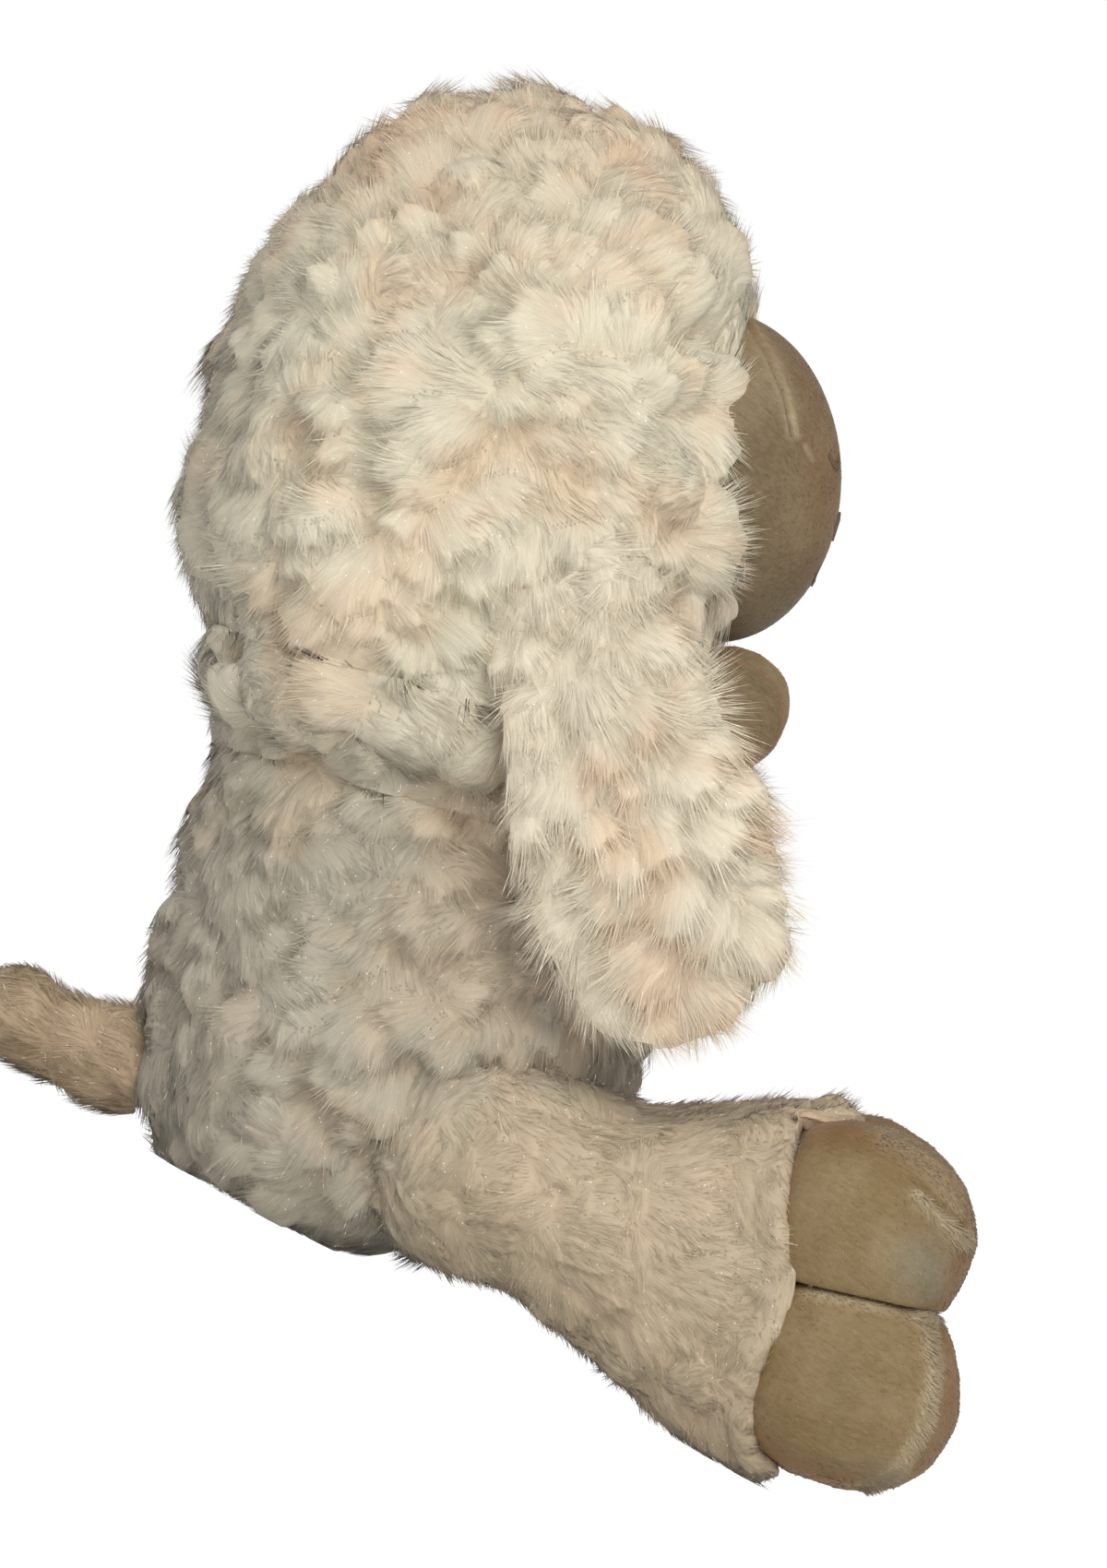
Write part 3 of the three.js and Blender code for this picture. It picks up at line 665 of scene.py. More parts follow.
def tufted(mesh, comb, look, seed):
    """Raises overlapping petal-shaped tufts on a skin and gives each its comb direction and tone."""
    places, out = coords(mesh), normals(mesh)
    rng = np.random.default_rng(seed)
    search = KDTree(len(places))
    for i, place in enumerate(places):
        search.insert(place, i)
    search.balance()
    free = np.ones(len(places), bool)
    high = np.zeros(len(places))
    lean = comb.copy()
    crest, rise, tone = np.zeros(len(places)), np.full(len(places), 0.3), np.full(len(places), 0.5)
    grain, ridged = places.copy(), np.zeros(len(places))
    for i in rng.permutation(len(places)):
        if not free[i]:
            continue
        size = rng.uniform(0.6, 1.35)
        long, wide = look["long"] * size * MM, look["wide"] * size * rng.uniform(0.75, 1.2) * MM
        found = np.array([k for _, k, _ in search.find_range(places[i], max(0.62 * long, wide))])
        found = found[out[found] @ out[i] > 0.3]
        gap = places[found] - places[i]
        free[found[np.linalg.norm(gap, axis=1) < look["apart"] * size * MM]] = False
        way = tangent((comb[i] + rng.normal(0, look["toss"], 3))[None], out[i][None])[0]
        across = np.cross(out[i], way)
        u, v = gap @ way, gap @ across
        round_off = np.sqrt(np.clip(1 - (v / wide) ** 2, 0, 1))
        phases = rng.uniform(0, 6.3, 5)
        bent = v + 1.2 * MM * np.sin(u / (6 * MM) + phases[3])
        ragged = 0.9 * np.sin(v / (0.75 * MM) + phases[0]) + 1.3 * np.sin(v / (1.9 * MM) + phases[1])
        edge = 0.5 * long * round_off + ragged * MM
        up = smoothly(u, -0.6 * long, 0.35 * long)
        down = 1 - smoothly(u, edge - 2.2 * MM, edge + 0.8 * MM)
        ridge = np.sin(bent / (0.52 * MM) + phases[2]) + np.sin(bent / (0.83 * MM) + phases[4])
        ridge = (ridge + 1.4 * np.sin(bent / (1.6 * MM) + phases[1])) * 0.2 * MM * (0.35 + 0.65 * up)
        tall = look["high"] * rng.uniform(0.45, 1.0) * MM
        raised = tall * up * round_off ** 0.8 * down
        better = raised > high[found]
        chosen = found[better]
        high[chosen] = raised[better]
        ridged[chosen] = (ridge * down)[better]
        turn = look["fan"] * v[better] / wide
        lean[chosen] = np.outer(np.cos(turn), way) + np.outer(np.sin(turn), across)
        crest[chosen] = (up * down * round_off ** 0.5)[better]
        rise[chosen], tone[chosen] = rng.uniform(0, 1, 2)
        # Across and along the fibres, which spread out towards the tuft's end
        spread = bent * np.exp(-look["fan"] * u / wide)
        grain[chosen] = np.stack([spread, u, np.full(len(u), i * 0.01)], 1)[better]
    high = smoothed(mesh, high, look["fine"] * 2) + smoothed(mesh, ridged, 1)
    high *= (1 - kept(mesh, "flat")) * (1 + 0.6 * kept(mesh, "kin"))
    put(mesh, places + out * high[:, None])
    stored(mesh, "comb", tangent(lean, out))
    stored(mesh, "upright", out)
    stored(mesh, "relief", normals(mesh))
    stored(mesh, "crest", smoothed(mesh, crest, look["fine"] * 4))
    stored(mesh, "rise", rise)
    stored(mesh, "grain", grain)
    stored(mesh, "calm", calm(mesh, grain[:, 2]))
    stored(mesh, "tuft_tone", smoothed(mesh, tone, 2))


def dressed(name, ways, pile, growth, look, seed, facing=None):
    """A skin with its tufts raised, and the comb, pile and growth fields on it."""
    base = linked(name, skin(name).copy())
    finer = base.modifiers.new("finer", "SUBSURF")
    finer.levels = finer.render_levels = look["fine"]
    mesh = evaluated_mesh(base)
    dropped(base)
    places, out = coords(mesh), normals(mesh)
    grown = growth(places, out)
    ways = ways(places)
    sure = smoothly(np.linalg.norm(ways, axis=1), 4 * MM, 26 * MM)
    comb = tangent(ways, out)
    swirl = look["swirl"]
    comb = comb + swirl[0] * eddies(places, 42 * MM, seed) + swirl[1] * eddies(places, 17 * MM, seed + 5)
    comb = tangent(comb, out) * sure[:, None]
    long = pile(places) if callable(pile) else np.full(len(places), pile)
    stored(mesh, "pile", long * (1 - 0.6 * kept(mesh, "flat")))
    grown = grown * (kept(mesh, "flat") < 0.95)
    stored(mesh, "growth", grown.astype(float))
    if name.startswith("leg"):
        stored(mesh, "kin", 1 - smoothly(gaps(places, skin("body")), 4 * MM, 36 * MM))
    tufted(mesh, comb, look, seed)
    if facing:
        # A thin flap's fur is lit as one side
        stored(mesh, "relief", normals(mesh) * 0.45 + np.array(facing))
    rounded(mesh)
    return mesh


def coat(name, mesh, values, materials):
    """Grows the pile on a dressed skin and returns the plain mesh object."""
    settings = bpy.context.scene.sheep_pile
    width = settings.strand_width / 2
    strand = strand_object()
    obj = linked(name, mesh)
    grower = obj.modifiers.new("Pile", "NODES")
    grower.node_group = pile_tree()
    given = {
        "Strand": strand,
        "Width": width,
        "Skin material": materials[0],
        "Pile material": materials[1],
        **values,
    }
    given["Strands per area"] = given["Strands per area"] * settings.density
    for item in grower.node_group.interface.items_tree:
        if item.in_out == "INPUT" and item.name in given:
            grower[item.identifier] = given[item.name]
    final = evaluated_mesh(obj)
    final.name = name
    dropped(obj, strand)
    places = coords(final)
    places[:, 2] = np.maximum(places[:, 2], FLOOR_GAP)
    put(final, places)
    soft_normals(final, TUFT_SHADING)
    for label in ("comb", "upright", "growth", "pile", "swell", "relief", "rise", "flat"):
        if label in final.attributes:
            final.attributes.remove(final.attributes[label])
    return linked(name, final)


# Materials


def material(name):
    made = bpy.data.materials.new(name)
    made.use_nodes = True
    made.node_tree.nodes.clear()
    return made, Tree(made.node_tree)


def finished(tree, inputs):
    shader = tree.node("ShaderNodeBsdfPrincipled", None, inputs)
    out = tree.node("ShaderNodeOutputMaterial")
    tree.tree.links.new(shader.outputs[0], out.inputs[0])


def spotted(tree, scale, detail=2.0, shift=(0, 0, 0)):
    place = tree.place()
    place = tree.wire("ShaderNodeMapping", None, {"Vector": place, "Location": shift})
    inputs = {"Vector": place, "Scale": scale, "Detail": detail, "Roughness": 0.55}
    return tree.wire("ShaderNodeTexNoise", None, inputs, 0)


def streaked(tree, place):
    inputs = {"Vector": place, "Scale": 1.0, "Detail": 3.0, "Roughness": 0.6}
    return tree.wire("ShaderNodeTexNoise", None, inputs)


def up_and_ahead(tree):
    """A surface point's height in the leaning view and its distance ahead, in metres."""
    place = tree.place()
    return place.dot(tuple(UPWARD)), place.dot(tuple(AHEAD))


def fur(name, tip, warm, cool, along_strand):
    """Pile fibre: painted warm shade at the roots and in the valleys between tufts, painted grey shade low
    down and at the back, pale tips, each lock and tuft a little different.
    """
    settings = bpy.context.scene.sheep_pile
    made, tree = material(name)
    tuft = tree.attribute("tuft_tone")
    crest = tree.attribute("crest")
    height, ahead = up_and_ahead(tree)
    kin = tree.attribute("kin")
    # Near the body, the legs take the body's colour with its painted shade
    base = tree.mix(kin * 0.8, tip, settings.body)
    blush = spotted(tree, 26.0).within(0.45, 0.66) + height.within(0.29, 0.36) * 0.7
    base = tree.mix(blush * warm, base, settings.peach)
    # Painted shade: greyer and darker low down and towards the back, where less light falls
    low = (1 - height.within(0.05, 0.2)) * 0.55 + (1 - ahead.within(-0.045, 0.045)) * 0.55
    base = tree.mix(low * cool + tuft * 0.06, base, settings.back_shade)
    light = tuft * 0.1 + 0.92
    # Painted shade in the valleys between tufts, away from their crests
    deep = 1 - crest.within(0.05, 0.75)
    inputs = {"Roughness": 0.7, "Sheen Weight": 0.1}
    if along_strand:
        along = tree.attribute("along")
        tone = tree.attribute("tone")
        # On the strands the painted shade stays at their roots, deep in the pile
        deep = deep * (1 - along.within(0.2, 1.0))
        light = light + (tone - 0.5) * 0.2
        glint = tone.within(0.975, 0.978) * along.within(0.7, 0.8)
        inputs["Roughness"] = 0.7 - glint * 0.45
    else:
        # Fine streaks along the fibres, and a glint here and there
        grain = tree.attribute("grain", "Vector")
        fine = streaked(tree, grain * (2400.0, 150.0, 97.0))
        broad = streaked(tree, grain * (800.0, 70.0, 31.0))
        whole = tree.attribute("calm")
        bump = {"Strength": 0.7, "Distance": 0.0007, "Height": (fine + broad * 1.4 - 1.2) * whole}
        inputs["Normal"] = tree.wire("ShaderNodeBump", None, bump)
        light = light + ((fine - 0.5) * 0.3 + (broad - 0.5) * 0.25) * whole
        place = tree.place()
        specks = tree.node("ShaderNodeTexVoronoi", None, {"Vector": place, "Scale": 480.0})
        rare = tree.wire("ShaderNodeSeparateColor", None, {0: Wire(tree, specks.outputs["Color"])})
        glint = Wire(tree, specks.outputs["Distance"]).within(0.11, 0.08) * rare.within(0.66, 0.68)
    inputs["Emission Color"] = tree.mix(glint, (0.0, 0.0, 0.0), (0.5, 0.5, 0.47))
    inputs["Emission Strength"] = 1.0
    # Mixes in the painted shade of the valleys and roots
    base = tree.mix(deep * (0.45 if along_strand else 0.6), base, settings.shade)
    base = tree.wire("ShaderNodeVectorMath", {"operation": "SCALE"}, {0: base, "Scale": light})
    base = tree.mix(glint, base, (1.0, 1.0, 0.98))
    finished(tree, {"Base Color": base, **inputs})
    return made


# Pieces


def pile_materials(kind):
    """The skin's and the strands' material of one kind of pile."""
    settings = bpy.context.scene.sheep_pile
    # Each kind: the pile's colour, the share of its peach tint, and the share of painted grey shade low down
    # and at the back
    kinds = {
        "fur": (settings.cream, 0.6, 1.0),
        "body": (settings.body, 0.6, 0.7),
        "ear": (settings.bright, 0.75, 0.1),
        "leg": (settings.leg, 0.5, 0.5),
        "tail": (settings.tail, 0.5, 0.1),
    }
    pair = (f"{kind}_skin", f"{kind}_strand")
    for k, name in enumerate(pair):
        if name not in bpy.data.materials:
            fur(name, *kinds[kind], k == 1)
    return [bpy.data.materials[name] for name in pair]


def padded(obj, body, slot, fill, *nodes):
    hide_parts(*nodes)
    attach(obj, body)


# Subdivisions; spacing, length, width and height of a tuft in millimetres; the toss and fan of its
# comb; and the comb's broad and fine swirls
TUFT_WORDS = ("fine", "apart", "long", "wide", "high", "toss", "fan", "swirl")
TUFTS = {
    "head": (2, 11.5, 30, 14, 15, 0.55, 0.8, (1.5, 1.2)),
    "body": (2, 11, 28, 13, 12, 0.55, 0.8, (1.3, 1.0)),
    "ear": (2, 11, 30, 12, 13, 0.5, 0.9, (0.5, 0.5)),
    "arm": (1, 7, 18, 8, 3, 0.4, 0.6, (0.8, 0.6)),
    "leg": (2, 10, 27, 14, 5, 0.6, 0.6, (1.3, 1.2)),
    "tail": (1, 6, 17, 7, 3, 0.5, 0.6, (0.9, 0.9)),
}
STRAND_WORDS = ("Strands per area", "Lift low", "Lift high", "Frizz")
STRANDS = {
    "head": (300000.0, 0.03, 0.34, 0.12),
    "body": (300000.0, 0.03, 0.3, 0.12),
    "ear": (400000.0, 0.02, 0.24, 0.07),
    "arm": (450000.0, 0.08, 0.5, 0.1),
    "leg": (400000.0, 0.04, 0.45, 0.28),
    "tail": (500000.0, 0.06, 0.5, 0.1),
}
CLOTHS = {"head": "fur", "body": "body", "ear": "ear", "arm": "body", "leg": "leg", "tail": "tail"}


def fleece(kind, side, ways, pile, growth, facing=None):
    """The coat of one body, from its skin, its comb and its pile."""
    name = f"{kind}_{side}" if side else kind
    seed = 1 + list(TUFTS).index(kind)
    look = dict(zip(TUFT_WORDS, TUFTS[kind]))
    mesh = dressed(name, ways, pile, growth, look, seed, facing)
    values = dict(zip(STRAND_WORDS, STRANDS[kind]))
    values["Seed"] = 10 * seed + 1 + (list(SIDES).index(side) if side else 0)
    return coat(f"{name}_coat", mesh, values, pile_materials(CLOTHS[kind]))


def outside_body(margin):
    """Pile grows everywhere but deep inside the body's skin."""
    return lambda places, out: np.where(inside(places, skin("body"), margin * MM), 0.0, 1.0)


def combed(*way):
    """A comb that lies one way all over."""
    return lambda places: np.tile(way, (len(places), 1))


class SHEEP_OT_head(bpy.types.Operator):
    """Shaggy pile of the head, parted from a whorl on each side"""

    bl_idname = "sheep.head"
    bl_label = "Head pile"

    def execute(self, context):
        settings = context.scene.sheep_pile
        whorl = np.array([0, 45.8, 271.8]) * MM

        def ways(places):
            away = places - whorl
            away[:, 0] = 0
            return away

        def growth(places, out):
            local = places - np.array(FACE_CENTRE)
            ahead = local @ np.array(AHEAD) / FACE_HALF.y
            upward = local @ np.array(UPWARD) / FACE_HALF.z
            across = local[:, 0] / FACE_HALF.x
            on_face = ahead ** 2 + upward ** 2 + across ** 2 < 0.86
            height = (places - np.array(NECK_POINT)) @ np.array(NECK_AXIS)
            return np.where(on_face | (height < -4 * MM), 0, 1.0)

        crown = np.array([0, 86, 358]) * MM
        cheek = [(38, 275), (47, 262), (46, 248)]

        def pile(places):
            near = np.linalg.norm(places - crown, axis=1)
            tuft = 0.8 * np.exp(-((near / (16 * MM)) ** 2))
            return settings.head_pile * (1 + tuft + 1.1 * beside(places, cheek, 13))

        obj = fleece("head", "", ways, pile, growth)
        padded(obj, "head", "fur", 0.8, "head_cover", "head_filling")
        return {"FINISHED"}


class SHEEP_OT_body(bpy.types.Operator):
    """Shaggy pile of the body, combed down"""

    bl_idname = "sheep.body"
    bl_label = "Body pile"

    def execute(self, context):
        settings = context.scene.sheep_pile

        def growth(places, out):
            hidden = np.zeros(len(places), bool)
            for side in SIDES:
                for limb in ("leg", "arm"):
                    hidden |= inside(places, skin(f"{limb}_{side}"), 3 * MM)
            height = (places - np.array(NECK_POINT)) @ np.array(NECK_AXIS)
            return np.where(hidden | (height > 4 * MM), 0, 1.0)

        obj = fleece("body", "", combed(0, 0.15, -1.0), settings.body_pile, growth)
        padded(obj, "body", "fur", 0.8, "body_cover", "body_filling")
        return {"FINISHED"}


class SHEEP_OT_ears(bpy.types.Operator):
    """Long straight pile of the ears"""

    bl_idname = "sheep.ears"
    bl_label = "Ears"

    def execute(self, context):
        settings = context.scene.sheep_pile

        def ways(places):
            across = (places - places.mean(0)) @ np.array(EAR_ACROSS)
            return np.array(EAR_WAY) + np.outer(across / 0.05, EAR_ACROSS)

        def pile(places):
            across = np.abs((places - places.mean(0)) @ np.array(EAR_ACROSS))
            return settings.ear_pile * (1 + 0.6 * smoothly(across, 22 * MM, 40 * MM))

        for side, sign in SIDES.items():
            def growth(places, out):
                return np.where(out[:, 0] * sign < -0.45, 0.0, 1.0)

            obj = fleece("ear", side, ways, pile, growth, (sign * 0.8, -0.1, 0.1))
            padded(obj, f"ear_{side}", "fur", 0.3, f"ear_{side}_cover")
        return {"FINISHED"}


class SHEEP_OT_arms(bpy.types.Operator):
    """Short pile of the arms"""

    bl_idname = "sheep.arms"
    bl_label = "Arm pile"

    def execute(self, context):
        settings = context.scene.sheep_pile
        for side in SIDES:
            obj = fleece("arm", side, combed(0, -0.45, 0.9), settings.arm_pile, outside_body(4))
            padded(obj, f"arm_{side}", "fur", 0.8, f"arm_{side}_cover", f"arm_{side}_filling")
        return {"FINISHED"}


class SHEEP_OT_legs(bpy.types.Operator):
    """Matted pile of the legs"""

    bl_idname = "sheep.legs"
    bl_label = "Leg pile"

    def execute(self, context):
        settings = context.scene.sheep_pile
        for side in SIDES:
            obj = fleece("leg", side, combed(0, -1.0, -0.25), settings.leg_pile, outside_body(5))
            padded(obj, f"leg_{side}", "fur", 0.85, f"leg_{side}_cover", f"leg_{side}_filling")
        return {"FINISHED"}


class SHEEP_OT_tail(bpy.types.Operator):
    """Tufted pile of the tail"""

    bl_idname = "sheep.tail"
    bl_label = "Tail pile"

    def execute(self, context):
        settings = context.scene.sheep_pile
        obj = fleece("tail", "", combed(0, 1.0, 0.1), settings.tail_pile, outside_body(3))
        padded(obj, "tail", "tail_fur", 0.8, "tail_cover", "tail_filling")
        return {"FINISHED"}


def velour(name, tan):
    """Short shiny nap that looks paler where it is brushed up."""
    settings = bpy.context.scene.sheep_velour
    made, tree = material(name)
    brushed = tree.attribute("brushed")
    # Painted sheen: a cooler tone where the nap is turned
    cool = tree.attribute("cool")
    place = tree.place()
    place = tree.wire("ShaderNodeMapping", None, {"Vector": place, "Rotation": (0.5, 0.3, 0.2),
                                                  "Scale": (1.0, 0.35, 1.0)})
    inputs = {"Vector": place, "Scale": 640.0, "Detail": 3.0, "Roughness": 0.7}
    grain = tree.wire("ShaderNodeTexNoise", None, inputs, 0)
    clouds = spotted(tree, 26.0, 4.0)
    warm = tree.attribute("warm")
    # Painted sheen: warm orange at the rims, and a cooler tone where the nap is turned
    base = tree.mix(warm, tree.mix(cool, tan, settings.cool), settings.rim_sheen)
    tone = tree.attribute("tone")
    lean = tone * 0.3 + clouds.within(0.35, 0.75) * 0.24 + brushed + (grain - 0.5) * 0.5
    base = tree.mix(lean, base, settings.pale)
    inputs = {"Strength": 0.35, "Distance": 0.0008, "Height": grain + clouds * 0.5}
    bump = tree.wire("ShaderNodeBump", None, inputs)
    finished(tree, {
        "Base Color": base, "Roughness": 0.75, "Normal": bump,
        "Sheen Weight": 0.14, "Sheen Roughness": 0.35,
    })
    return made


def naps():
    """The velour of the face and the arms' toes, a darker copy with painted shade since they lie away from
    the light, and of the legs' toes.
    """
    settings = bpy.context.scene.sheep_velour
    for name, tan in (("shaded_nap", settings.shaded_tan), ("toe_nap", settings.tan)):
        if name not in bpy.data.materials:
            velour(name, tan)
    return bpy.data.materials


def beside(places, line, reach):
    """Nearness to a line drawn on the side view, given as places ahead and up in millimetres."""
    line = np.array(line) * MM
    flat = np.stack([-places[:, 1], places[:, 2]], 1)
    nearest = np.full(len(flat), 1.0)
    for a, b in zip(line[:-1], line[1:]):
        t = np.clip(((flat - a) @ (b - a)) / ((b - a) @ (b - a)), 0, 1)
        nearest = np.minimum(nearest, np.linalg.norm(flat - a - t[:, None] * (b - a), axis=1))
    return np.exp(-((nearest / (reach * MM)) ** 2))


def napped(name, mesh, brushed, cool, way, nap, fuzz, seed):
    """Grows a sparse fuzz on velour, closer where the nap is brushed up."""
    places, out = coords(mesh), normals(mesh)
    full = np.ones(len(places))
    stored(mesh, "comb", tangent(np.tile(way, (len(places), 1)) + eddies(places, 20 * MM, seed), out))
    for label in ("upright", "relief"):
        stored(mesh, label, out)
    kept_values = {
        "crest": full * 0.5,
        "rise": brushed,
        "pile": fuzz * (0.6 + 1.3 * brushed),
        "growth": 0.3 + brushed * 2.6,
        "brushed": brushed,
        "cool": cool,
    }
    for label, values in kept_values.items():
        stored(mesh, label, values)
    rounded(mesh)
    values = {"Strands per area": 500000.0, "Lift low": 0.15, "Lift high": 1.2, "Frizz": 0.25,
              "Width": 0.00012 * (1 + (fuzz > 2 * MM)), "Seed": seed}
    return coat(name, mesh, values, (nap, nap))


def thread():
    settings = bpy.context.scene.sheep_velour
    made, tree = material("embroidery")
    place = tree.place()
    inputs = {"Vector": place, "Scale": 900.0, "Distortion": 1.5}
    rows = tree.wire("ShaderNodeTexWave", {"bands_direction": "X"}, inputs, 1)
    bump = tree.wire("ShaderNodeBump", None, {"Strength": 0.6, "Distance": 0.0003, "Height": rows})
    base = tree.mix(rows * 0.4, settings.thread, settings.tan)
    finished(tree, {"Base Color": base, "Roughness": 0.45, "Normal": bump})
    return made


class SHEEP_OT_face(bpy.types.Operator):
    """Velour face with its dart, and the embroidered features"""

    bl_idname = "sheep.face"
    bl_label = "Face"

    def execute(self, context):
        settings = context.scene.sheep_velour
        made = bmesh.new()
        bmesh.ops.create_icosphere(made, subdivisions=7, radius=1)
        mesh = bpy.data.meshes.new("face_velour")
        made.to_mesh(mesh)
        made.free()
        ball = coords(mesh)
        basis = np.array([(1, 0, 0), tuple(AHEAD), tuple(UPWARD)])
        places = ball * np.array(FACE_HALF) @ basis + np.array(FACE_CENTRE)
        # The dart runs from the hood seam at the forehead down towards the nose
        dart = [(8.4, 329.9), (20.4, 322.8), (31.6, 313.4), (36.5, 307.5), (40.4, 302.8), (49.5, 299.2)]
        ahead = smoothly(ball[:, 1], -0.1, 0.2)
        groove = (beside(places, dart[:5], 0.9) + 0.35 * beside(places, dart[4:], 0.8)) * ahead
        lips = (beside(places, dart[:5], 2.8) - beside(places, dart[:5], 1.2)) * ahead
        worn = beside(places, dart[2:4], 1.4) * 0.6 + beside(places, dart[3:5], 1.5)
        worn += beside(places, [(45.5, 301.6), (49.5, 299.0)], 0.8) * 0.6
        dent = 1.2 * groove - 0.3 * lips
        folds = np.array([noise.noise(Vector(p) * 34) for p in places])
        put(mesh, places - ball @ basis * (dent - 0.35 * folds)[:, None] * MM)
        brushed = np.clip(lips * 0.25 + worn * (1 - groove) * 0.75, 0, 1) * ahead
        # Painted highlight: the nap is paler towards the top of the face
        brushed += 0.12 * smoothly(ball[:, 2], 0.1, 0.9)
        # Painted sheen: warm orange at the face's front end and top
        rim = 0.45 * smoothly(ball[:, 1], 0.5, 0.97) + 0.35 * smoothly(ball[:, 2], 0.3, 0.9)
        stored(mesh, "warm", rim)
        # Painted sheen: a cooler tone over the face, away from its front end
        cool = 0.22 * smoothly(-ball[:, 1], -0.75, -0.2)
        way = (0, -0.3, -1)
        # The face takes the velour with painted shade
        obj = napped("face_velour", mesh, brushed, cool, way, naps()["shaded_nap"], settings.fuzz * 0.7, 71)
        padded(obj, "head", "velour", 0.9, "face_panel")
        stitched = thread()
        for node in ("eye_left", "eye_right", "nose", "mouth"):
            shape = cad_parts[node]
            shape.data.materials.clear()
            shape.data.materials.append(stitched)
        return {"FINISHED"}


# Where the two toes of a foot press together
SPLIT = np.array([0, 0.2706, 0.9627])
SPLIT_OFFSET = 16.4 * MM


def pressed(places, way):
    """Fills a toe out towards its neighbour and flattens it where they meet."""
    reach = (places - (places.max(0) + places.min(0)) / 2) @ SPLIT * way
    places = places + np.outer(np.where(reach < 0, reach * 0.32, 0) * way, SPLIT)
    gap = (places @ SPLIT - SPLIT_OFFSET) * way
    wanted = (gap + np.sqrt(gap ** 2 + 4 * (0.35 * MM) ** 2)) / 2
    return places + np.outer((wanted - gap) * way, SPLIT)


def marks(node, places, outer):
    """A toe's brushed nap, its turned nap with painted sheen, and the depth of its creases in millimetres.
    """
    none = np.zeros(len(places))
    if "leg" not in node:
        return none + 0.1, none, none
    if "upper" in node:
        rim = beside(places, [(172, 119), (190, 117), (202, 110), (209, 101)], 4.0)
        crease = beside(places, [(186, 111.5), (197, 108), (208, 105)], 0.9)
        lip = beside(places, [(190, 107), (200, 104), (211, 101)], 2.6)
        # Painted sheen: a cooler tone where the nap turns, low at the upper toe's front
        turned = beside(places, [(200, 88), (212, 84)], 9.0)
        brushed = np.clip(rim * 0.4 + lip * 1.1 - crease, 0, 1)
        return brushed * outer, turned * 0.9 * outer, (crease * 2.4 - lip * 0.7) * outer
    seam = beside(places, [(203, 77), (213, 71), (221, 60), (226, 44), (226, 28), (220, 17)], 2.6)
    edge = beside(places, [(173, 63), (196, 71), (220, 76)], 2.2)
    # Painted sheen: a little of the cooler tone in the lower toe's hollow
    hollow = beside(places, [(196, 45), (200, 35)], 8.0)
    return (seam * 1.0 + edge * 0.6) * outer, hollow * 0.15 * outer, (hollow * 0.9 - seam * 0.6) * outer


class SHEEP_OT_hooves(bpy.types.Operator):
    """Velour toes of all four hooves"""

    bl_idname = "sheep.hooves"
    bl_label = "Hooves"

    def execute(self, context):
        settings = context.scene.sheep_velour
        for side, sign in SIDES.items():
            for limb, names in TOES.items():
                for k, name in enumerate(names):
                    node = f"{limb}_{side}_{name}"
                    mesh = remeshed(node, joined([node]), (1.6 if limb == "leg" else 1.2) * MM, 12)
                    outer_only(mesh)
                    places, out = coords(mesh), normals(mesh)
                    places += out * 0.5 * MM
                    if limb == "leg":
                        places = pressed(places, 1 if k == 0 else -1)
                    if node.endswith("lower_toe"):
                        places[:, 1] -= 3.5 * MM * smoothly(-places[:, 1], 0.195, 0.225)
                    # Painted sheen: warm orange on the rims seen edge-on from the camera
                    stored(mesh, "warm", 1.0 * (1 - smoothly(np.abs(out[:, 0]), 0.15, 0.75)))
                    outer = smoothly((places[:, 0] - places[:, 0].mean()) * sign, -4 * MM, 6 * MM)
                    brushed, cool, dent = marks(node, places, outer)
                    put(mesh, places - out * dent[:, None] * MM)
                    way = (0, -0.6, -1) if k == 0 else (0, -1, -0.35)
                    fuzz = settings.fuzz * (1 if limb == "leg" else 0.6)
                    # The arms' toes take the velour with painted shade
                    nap = naps()["toe_nap" if limb == "leg" else "shaded_nap"]
                    obj = napped(f"{node}_pad", mesh, brushed, cool, way, nap, fuzz, 81 + k)
                    padded(obj, f"{limb}_{side}", "velour", 0.9, node)
        return {"FINISHED"}


class SHEEP_OT_linings(bpy.types.Operator):
    """Pink linings on the inner side of the ears"""

    bl_idname = "sheep.linings"
    bl_label = "Ear linings"

    def execute(self, context):
        settings = context.scene.sheep_velour
        cloth, tree = material("lining_cloth")
        base = tree.mix(spotted(tree, 60.0) * 0.4, settings.pink, settings.pale)
        finished(tree, {"Base Color": base, "Roughness": 0.6, "Sheen Weight": 0.3})
        for side, sign in SIDES.items():
            mesh = skin(f"ear_{side}").copy()
            places, out = coords(mesh), normals(mesh)
            put(mesh, places + out * 1.0 * MM)
            made = bmesh.new()
            made.from_mesh(mesh)
            made.normal_update()
            gone = [f for f in made.faces if f.normal.x * sign > -0.5]
            bmesh.ops.delete(made, geom=gone, context="FACES")
            made.to_mesh(mesh)
            made.free()
            rounded(mesh)
            mesh.materials.append(cloth)
            obj = linked(f"ear_{side}_inner", mesh)
            thick = obj.modifiers.new("thick", "SOLIDIFY")
            thick.thickness = 1.6 * MM
            thick.offset = -1
            final = evaluated_mesh(obj)
            dropped(obj)
            obj = linked(f"ear_{side}_inner", final)
            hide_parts(f"ear_{side}_lining")
            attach(obj, f"ear_{side}")
        return {"FINISHED"}


# Millimetres of sensor, and metres that the picture spans along its longer side
SENSOR = 36
VIEW_HEIGHT = 0.510


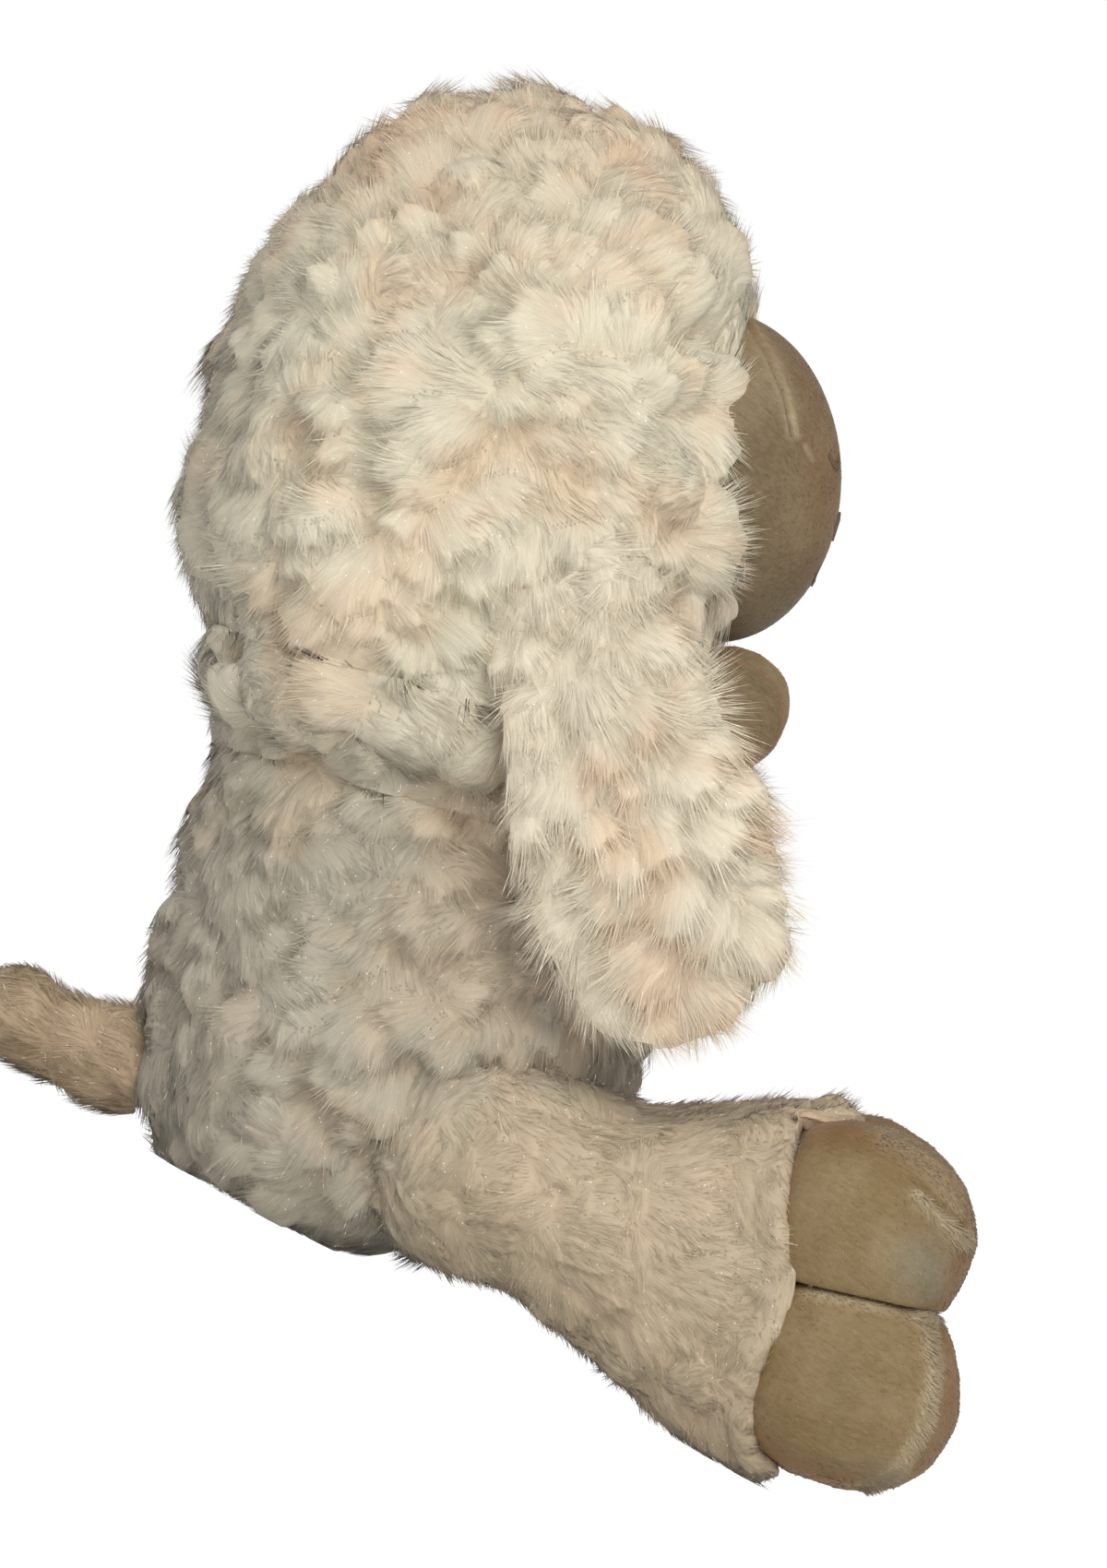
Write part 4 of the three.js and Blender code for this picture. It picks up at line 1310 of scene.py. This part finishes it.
class SHEEP_OT_stage(bpy.types.Operator):
    """Pale floor, soft light and the camera"""

    bl_idname = "sheep.stage"
    bl_label = "Stage"

    def execute(self, context):
        settings = context.scene.sheep_stage
        made = bmesh.new()
        bmesh.ops.create_grid(made, x_segments=1, y_segments=1, size=6)
        mesh = bpy.data.meshes.new("floor")
        made.to_mesh(mesh)
        made.free()
        floor = linked("floor", mesh)
        pale, tree = material("floor")
        path = tree.node("ShaderNodeLightPath")
        rays = [Wire(tree, path.outputs[f"Is {ray} Ray"]) for ray in ("Camera", "Glossy", "Transmission")]
        seen = rays[0] + rays[1] + rays[2]
        matt = {"Base Color": (0.8, 0.8, 0.8, 1), "Roughness": 0.9}
        matt = tree.node("ShaderNodeBsdfPrincipled", None, matt)
        glow = tree.node("ShaderNodeEmission", None, {"Color": (1, 1, 1, 1), "Strength": 1.3})
        both = tree.node("ShaderNodeMixShader")
        links = pale.node_tree.links
        links.new((seen * 0.85).socket, both.inputs[0])
        links.new(matt.outputs[0], both.inputs[1])
        links.new(glow.outputs[0], both.inputs[2])
        out = tree.node("ShaderNodeOutputMaterial")
        links.new(both.outputs[0], out.inputs[0])
        mesh.materials.append(pale)

        world = bpy.data.worlds.new("studio")
        context.scene.world = world
        world.use_nodes = True
        world.node_tree.nodes.clear()
        tree = Tree(world.node_tree)
        path = tree.node("ShaderNodeLightPath")
        seen = Wire(tree, path.outputs["Is Camera Ray"])
        soft = tree.node("ShaderNodeBackground", None, {"Color": (1, 0.99, 0.97, 1), "Strength": 0.285})
        white = tree.node("ShaderNodeBackground", None, {"Color": (1, 1, 1, 1), "Strength": 1.0})
        both = tree.node("ShaderNodeMixShader")
        links = world.node_tree.links
        links.new(seen.socket, both.inputs[0])
        links.new(soft.outputs[0], both.inputs[1])
        links.new(white.outputs[0], both.inputs[2])
        out = tree.node("ShaderNodeOutputWorld")
        links.new(both.outputs[0], out.inputs[0])

        aim = Vector((0, -25.8, 167.2)) * MM
        lamps = [
            ("key", Vector((-1.75, 0.0, 0.95)), 1.5, 22.5, (1, 0.97, 0.91)),
            ("front", Vector((-0.7, -1.7, 0.9)), 0.9, 4.5, (1, 0.92, 0.82)),
            ("back", Vector((0.9, 1.2, 1.3)), 0.9, 4.2, (1, 0.98, 0.95)),
        ]
        for name, spot, size, power, tint in lamps:
            light = bpy.data.lights.new(name, "AREA")
            light.shape = "DISK"
            light.size = size
            light.energy = power * settings.light
            light.color = tint
            lamp = linked(name, light)
            lamp.location = aim + spot
            lamp.rotation_euler = (-spot).to_track_quat("-Z", "Y").to_euler()

        lens = bpy.data.cameras.new("camera")
        lens.sensor_width = SENSOR
        lens.lens = SENSOR * settings.distance / VIEW_HEIGHT
        lens.clip_start = 0.1
        camera = linked("camera", lens)
        camera.location = aim + Vector((-settings.distance, 0, 0))
        right, back = AHEAD, Vector((-1, 0, 0))
        camera.rotation_euler = Matrix((right, UPWARD, back)).transposed().to_euler()
        context.scene.camera = camera
        context.scene.view_settings.view_transform = "Standard"
        return {"FINISHED"}


OPERATORS = [
    SHEEP_OT_stage, SHEEP_OT_head, SHEEP_OT_body, SHEEP_OT_ears, SHEEP_OT_linings, SHEEP_OT_arms,
    SHEEP_OT_legs, SHEEP_OT_tail, SHEEP_OT_face, SHEEP_OT_hooves,
]


class SHEEP_PT_panel(bpy.types.Panel):
    """Lists the sizes, colours and steps"""

    bl_label = "Plush sheep"
    bl_idname = "SHEEP_PT_panel"
    bl_space_type = "VIEW_3D"
    bl_region_type = "UI"
    bl_category = "Sheep"

    def draw(self, context):
        for group in (context.scene.sheep_pile, context.scene.sheep_velour, context.scene.sheep_stage):
            box = self.layout.box()
            for name in group.bl_rna.properties.keys():
                if name not in ("name", "rna_type"):
                    box.prop(group, name)
        for step in OPERATORS:
            self.layout.operator(step.bl_idname)


GROUPS = {"sheep_pile": SheepPile, "sheep_velour": SheepVelour, "sheep_stage": SheepStage}


def register():
    for kind in [*GROUPS.values(), *OPERATORS, SHEEP_PT_panel]:
        bpy.utils.register_class(kind)
    for name, kind in GROUPS.items():
        setattr(bpy.types.Scene, name, bpy.props.PointerProperty(type=kind))


def unregister():
    for name in GROUPS:
        delattr(bpy.types.Scene, name)
    for kind in reversed([*GROUPS.values(), *OPERATORS, SHEEP_PT_panel]):
        bpy.utils.unregister_class(kind)


def main():
    register()
    for step in OPERATORS:
        family, name = step.bl_idname.split(".")
        getattr(getattr(bpy.ops, family), name)()


if __name__ == "__main__":
    main()
